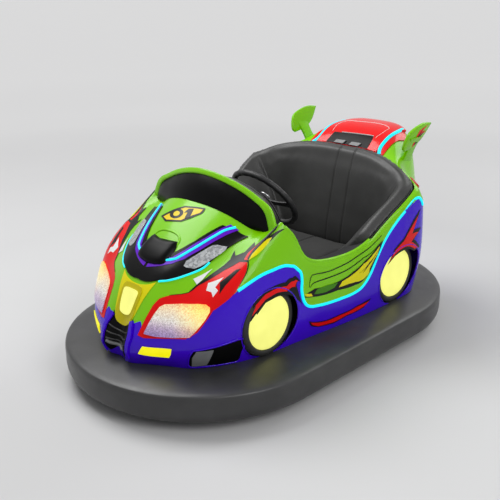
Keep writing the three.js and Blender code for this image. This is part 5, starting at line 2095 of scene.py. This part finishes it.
        self.inflate(piece, 0.0055, 0.007, pinned)
        for seam in self.seams:
            back = lambda p, x=seam: np.where(p[:, 1] > 0.30, np.abs(p[:, 0] - x), 1.0)
            self.press(piece, 0.0035, 0.0045, back)
        self.dress(piece, self.finishes.seat, ["seat_back"])

    def cushion(self) -> None:
        """The bench cushion with a crowned top, rounded front and piped seam."""
        low = np.array(self.cushion_low) + np.array([0.008, 0.008, 0.001])
        high = np.array(self.cushion_high) - np.array([0.008, 0.008, 0.012])
        Bench.clear()
        middle, size = (low + high) / 2, high - low
        bpy.ops.mesh.primitive_cube_add(size=1, location=middle)
        piece = Bench.named("bench_cushion")
        piece.scale = tuple(size)
        Bench.settle(piece)
        Bench.modify(piece, "BEVEL", width=0.030, segments=5)
        hold = lambda p: np.clip((low[2] + 0.02 - p[:, 2]) / 0.012, 0, 1)
        self.inflate(piece, 0.006, 0.011, hold)
        seam_z = high[2] - 0.022
        side = lambda p: np.where(self.edge_gap(p, low, high) < 0.016, np.abs(p[:, 2] - seam_z), 1.0)
        self.press(piece, 0.003, 0.004, side)
        self.press(piece, 0.005, 0.006, lambda p: np.where(p[:, 2] > seam_z, np.abs(p[:, 0]), 1.0))
        self.dress(piece, self.finishes.seat, ["seat_cushion"])

    @staticmethod
    def edge_gap(points: Array, low: Array, high: Array) -> Array:
        """How far each point lies inside the cushion's sides."""
        gaps = [points[:, 0] - low[0], high[0] - points[:, 0], points[:, 1] - low[1], high[1] - points[:, 1]]
        return np.min(np.stack(gaps), axis=0)

    def pedal(self) -> None:
        """A pressed steel pedal."""
        low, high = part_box("pedal")
        rows = []
        for t in np.linspace(0, 1, 14):
            y = high.y - (high.y - low.y) * t
            z = low.z + 0.006 + (high.z - low.z - 0.010) * max(0.0, (t - 0.72) / 0.28) ** 1.4
            rows.append(
                [
                    (x, y, z + b) for x,
                    b in filleted(
                        ((low.x, -0.004), (high.x, -0.004), (high.x, 0.004), (low.x, 0.004)), 0.003, 2
                    )
                ]
            )
        plate = Bench.loft("foot_pedal", np.array(rows), False)
        Bench.smooth(plate, 50)
        self.dress(plate, self.finishes.bright, ["pedal"])


# ---- rear deck ----------------------------------------------------------------------------------------
@dataclass
class RearDeck(Assembly):
    """The red engine cover with its vent, the two fins and the tail lamps."""

    root: Point = (0.331, 0.540, 0.838)
    length_way: Point = (0.068, 0.891, 0.448)
    across_way: Point = (0.221, -0.452, 0.864)
    blade: float = 0.014

    def build(self) -> None:
        """Builds the deck's pieces."""
        self.cover()
        self.vent()
        self.fins()
        self.tail_lamps()

    def cover(self) -> None:
        """The red cover, its light strips and white line."""
        wall = 0.012

        def low(v: Array) -> Array:
            return np.full_like(v, 3.4)

        def high(v: Array) -> Array:
            return np.full_like(v, 5.95)

        stops = np.linspace(15.1, 16.9, 40)
        shell = self.surface.panel("engine_hatch", stops, low, high, 40, wall + 0.004, wall)
        Bench.soften(shell, 0.005, 3)
        Bench.smooth(shell, 60)
        self.dress(shell, self.finishes.red, ["engine_cover"])
        skirt = (
            (14.9, 5.97), (14.88, 5.2), (14.86, 4.4), (14.82, 3.7), (15.08, 3.55), (15.14, 4.4), (15.16, 5.2),
            (15.14, 5.97),
        )
        flange = self.surface.film(
            "hatch_flange_left", [(16 - (v - 16), u) if v > 16 else (v, u) for v, u in skirt], 0.004, 0.0036,
        )
        self.both(flange, self.finishes.red)
        self.strip(
            "hatch_light_left", ((15.01, 5.98), (15.09, 5.6), (15.09, 5.0), (15.1, 4.2), (15.16, 3.6)),
            (0.016, 0.0145), self.finishes.cyan,
        )
        line = (
            (16.31, 4.31), (16.0, 4.22), (15.76, 4.18), (15.45, 4.24), (15.3, 4.38), (15.3, 4.62),
            (15.31, 4.86), (15.37, 5.24),
        )
        pipe = self.surface.ribbon("hatch_line", line, 0.004, wall + 0.0015)
        self.dress(pipe, self.finishes.vinyl[Paint.WHITE], slot="red_gelcoat")
        far = self.surface.ribbon(
            "hatch_line_right", ((16.31, 4.31), (16.58, 4.36), (16.68, 4.7), (16.64, 5.24)), 0.004,
            wall + 0.0015,
        )
        self.dress(far, self.finishes.vinyl[Paint.WHITE], slot="red_gelcoat")

    def vent(self) -> None:
        """The black vent with grey blades."""
        hole = (
            (16.55, 5.3), (16.34, 5.29), (15.9, 5.24), (15.45, 5.2), (15.41, 5.41), (15.4, 5.91),
            (16.6, 5.91), (16.58, 5.6),
        )
        self.lay("hatch_vent", hole, (0.0132, 0.004), self.finishes.screen, ["engine_vent"])
        for index, start in enumerate((16.33, 15.89)):
            blade = ((start, 5.72), (start - 0.27, 5.70), (start - 0.22, 5.93), (start + 0.04, 5.93))
            slat = self.surface.film(f"vent_blade_{index}", blade, 0.019, 0.005)
            Bench.soften(slat, 0.001)
            self.dress(slat, self.finishes.grey)
        self.strip(
            "vent_lip", ((16.34, 5.27), (15.9, 5.22), (15.45, 5.18)), (0.005, 0.0165),
            self.finishes.vinyl[Paint.WHITE], slot="black_gloss",
        )

    def fins(self) -> None:
        """Two curved fins on struts."""
        long = Vector(self.length_way).normalized()
        wide = Vector(self.across_way).normalized()
        thick = long.cross(wide)
        root = Vector(self.root)
        crown = (
            (0.005, -0.013), (-0.002, 0.009), (0.022, 0.045), (0.062, 0.065), (0.156, 0.046), (0.219, 0.006),
        )
        belly = ((0.219, 0.006), (0.148, -0.030), (0.081, -0.035), (0.005, -0.013))
        outline = [*rounded(np.array(crown), False, 6)[:-1], *rounded(np.array(belly), False, 6)[:-1]]
        half = self.blade / 2
        middle = np.mean(outline, axis=0)
        rows = []
        for inset, height in (
            (0.08, -half), (0.025, -half * 0.8), (0.0, -half * 0.3), (0.0, half * 0.3), (0.025, half * 0.8),
            (0.08, half),
        ):
            row = []
            for spot in outline:
                near = spot + (middle - spot) * inset
                row.append(root + long * float(near[0]) + wide * float(near[1]) + thick * height)
            rows.append([tuple(p) for p in row])
        fin = Bench.loft("fin_left", np.array(rows), False)
        Bench.smooth(fin, 50)
        self.both(fin, self.finishes.green, ["wing_left", "wing_right"])
        for index, (paint, shape, lift) in enumerate(
            (
                (
                    Paint.RED,
                    (
                        (0.060, -0.026), (0.078, 0.002), (0.120, 0.030), (0.186, 0.020), (0.140, 0.012),
                        (0.168, -0.004), (0.122, -0.002), (0.134, -0.020), (0.092, -0.022),
                    ),
                    0.0004,
                ),
                (
                    Paint.BLACK,
                    (
                        (0.072, -0.024), (0.096, 0.004), (0.146, 0.020), (0.116, 0.002), (0.156, 0.002),
                        (0.112, -0.010), (0.124, -0.024),
                    ),
                    0.0010,
                ),
            )
        ):
            rows = []
            for height in (half + lift - 0.0005, half + lift + 0.0005):
                rows.append([tuple(root + long * x + wide * y + thick * height) for x, y in shape])
            mark = Bench.loft(f"fin_mark_{index}_left", np.array(rows), False)
            self.both(mark, self.finishes.vinyl[paint], slot="green_gelcoat")
        foot, head = Vector((0.285, 0.640, 0.768)), Vector((0.345, 0.610, 0.888))
        rows = []
        for t in np.linspace(0, 1, 12):
            spot = foot.lerp(head, t)
            wide_half = 0.040 - 0.012 * math.sin(math.pi * t) + 0.006 * t
            flat = filleted(
                ((-wide_half, -0.008), (wide_half, -0.008), (wide_half, 0.008), (-wide_half, 0.008)), 0.007,
                3,
            )
            rows.append([(spot.x + b, spot.y + a, spot.z - 0.3 * b) for a, b in flat])
        strut = Bench.loft("fin_strut_left", np.array(rows), False)
        Bench.smooth(strut, 50)
        self.both(strut, self.finishes.green, ["wing_left", "wing_right"])

    def tail_lamps(self) -> None:
        """Red lamps on the rear corners."""
        shape = ((13.62, 5.14), (13.59, 3.91), (13.32, 3.61), (12.96, 4.85), (13.25, 5.4))
        self.lay("tail_lamp_left", shape, (0.007, 0.0064), self.finishes.tail, smooth=True, edge=0.002)


# ---- studio -----------------------------------------------------------------------------------------------
@dataclass
class Studio:
    """Pale floor and backdrop, soft lights and the camera."""

    place: Point = (2.1821, -2.3208, 1.5634)
    target: Point = (-0.0890, -0.0209, 0.3936)
    lens: float = 53.74
    tone: float = 0.62
    air: float = 0.57
    shown_air: float = 1.03
    glow: tuple[tuple[float, float], ...] = (
        (0.2, 0.0), (0.38, 0.21), (0.57, 0.38), (0.65, 0.41), (0.95, 0.445), (1.0, 0.45),
    )

    def build(self) -> None:
        """Builds the studio."""
        self.floor()
        self.lights()
        self.camera()
        bpy.context.scene.view_settings.view_transform = "Standard"

    def floor(self) -> None:
        """One wide flat disc for the floor all round."""
        Bench.clear()
        bpy.ops.mesh.primitive_circle_add(vertices=96, radius=160.0, fill_type="NGON", location=(0, 0, 0))
        piece = Bench.named("studio_floor")
        sheet = NodeSheet("studio_paint")
        grey = (self.tone, self.tone, self.tone * 1.005, 1)
        sheet.paint(sheet.noise(1.2, 2.0), [(0.3, shade(grey, 0.985)), (0.7, grey)])
        sheet.set(Roughness=0.85, Specular_IOR_Level=0.2, Emission_Color=(1, 1, 1, 1))
        place = sheet.add("ShaderNodeTexCoord")
        reach = sheet.add("ShaderNodeVectorMath", operation="LENGTH")
        sheet.link(place.outputs["Object"], reach.inputs[0])
        tenth = sheet.add("ShaderNodeMath", operation="MULTIPLY")
        tenth.inputs[1].default_value = 0.1
        sheet.link(reach.outputs["Value"], tenth.inputs[0])
        lift = sheet.ramp(
            tenth.outputs["Value"], [(spot, (value, value, value, 1)) for spot, value in self.glow],
        )
        power = sheet.add("ShaderNodeMath", operation="MULTIPLY")
        sheet.link(lift, power.inputs[0])
        sheet.link(self.straight_rays(sheet.tree), power.inputs[1])
        sheet.link(power.outputs["Value"], sheet.shader.inputs["Emission Strength"])
        piece.data.materials.append(sheet.material)
        piece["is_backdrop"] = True

    @staticmethod
    def straight_rays(tree: bpy.types.NodeTree) -> Socket:
        """One for rays seen straight on, in a reflection or through glass, and nought for others."""
        rays = tree.nodes.new("ShaderNodeLightPath")
        found = rays.outputs["Is Camera Ray"]
        for kind in ("Is Glossy Ray", "Is Transmission Ray"):
            either = tree.nodes.new("ShaderNodeMath")
            either.operation = "MAXIMUM"
            tree.links.new(found, either.inputs[0])
            tree.links.new(rays.outputs[kind], either.inputs[1])
            found = either.outputs["Value"]
        return found

    def lights(self) -> None:
        """A pale room and three soft lamps."""
        world = bpy.data.worlds.new("studio_air")
        world.use_nodes = True
        air = world.node_tree.nodes["Background"]
        air.inputs["Color"].default_value = (self.tone * 1.02, self.tone * 1.02, self.tone * 1.03, 1)
        tree = world.node_tree
        power = tree.nodes.new("ShaderNodeMath")
        power.operation = "MULTIPLY_ADD"
        power.inputs[1].default_value = self.shown_air - self.air
        power.inputs[2].default_value = self.air
        tree.links.new(self.straight_rays(tree), power.inputs[0])
        tree.links.new(power.outputs["Value"], air.inputs["Strength"])
        bpy.context.scene.world = world
        for name, spot, size, power in (
            ("key_lamp", (-1.8, -0.6, 3.6), 2.6, 112.0),
            ("fill_lamp", (3.4, -0.8, 2.8), 2.4, 66.0),
            ("rim_lamp", (0.6, 3.4, 3.0), 2.2, 36.0),
        ):
            lamp = bpy.data.lights.new(name, "AREA")
            lamp.shape = "DISK"
            lamp.size = size
            lamp.energy = power
            stand = bpy.data.objects.new(name, lamp)
            stand.location = spot
            stand.rotation_euler = (Vector((0, 0, 0.4)) - Vector(spot)).to_track_quat("-Z", "Y").to_euler()
            bpy.context.scene.collection.objects.link(stand)

    def camera(self) -> None:
        """The camera, level across, looking down at the front left corner."""
        lens = bpy.data.cameras.new("view")
        lens.lens = self.lens
        lens.sensor_width = 36.0
        holder = bpy.data.objects.new("view", lens)
        holder.location = self.place
        away = Vector(self.target) - Vector(self.place)
        holder.rotation_euler = away.to_track_quat("-Z", "Y").to_euler()
        bpy.context.scene.collection.objects.link(holder)
        bpy.context.scene.camera = holder


def corners(box: Sequence[Sequence[float]]) -> list[list[float]]:
    """A box's two corners as plain lists."""
    return [[float(value) for value in corner] for corner in box]


def main() -> None:
    """Builds the car round its frame, piece by piece."""
    logging.basicConfig(level=logging.INFO, format="%(message)s")
    frame_box = corners(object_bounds())
    Studio().build()
    surface = BodySurface()
    finishes = Finishes()
    assemblies = [
        RubberRing(surface, finishes),
        BodyShell(surface, finishes),
        Nose(surface, finishes),
        LightStrips(surface, finishes),
        Livery(surface, finishes),
        SideWheel(surface, finishes),
        SideWheel(
            surface, finishes, name="rear_side_wheel", node="side_wheel_rear", centre=(0.458, 0.360, 0.325),
        ),
        RoadWheel(surface, finishes, body="drive_wheel"),
        RoadWheel(
            surface, finishes, body="rear_wheel_left", name="rear_left", node="rear_wheel_left",
            centre=(0.270, 0.440, 0.075), radius=0.075, width=0.044,
        ),
        RoadWheel(
            surface, finishes, body="rear_wheel_right", name="rear_right", node="rear_wheel_right",
            centre=(-0.270, 0.440, 0.075), radius=0.075, width=0.044,
        ),
        Underside(surface, finishes, nodes=frame["nodes"]),
        Windscreen(surface, finishes),
        SteeringWheel(surface, finishes),
        Cockpit(surface, finishes),
        RearDeck(surface, finishes),
    ]
    for assembly in assemblies:
        LOG.info("building %s", type(assembly).__name__)
        assembly.build()
    sizes = [frame_box, corners(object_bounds())]


if __name__ == "__main__":
    main()
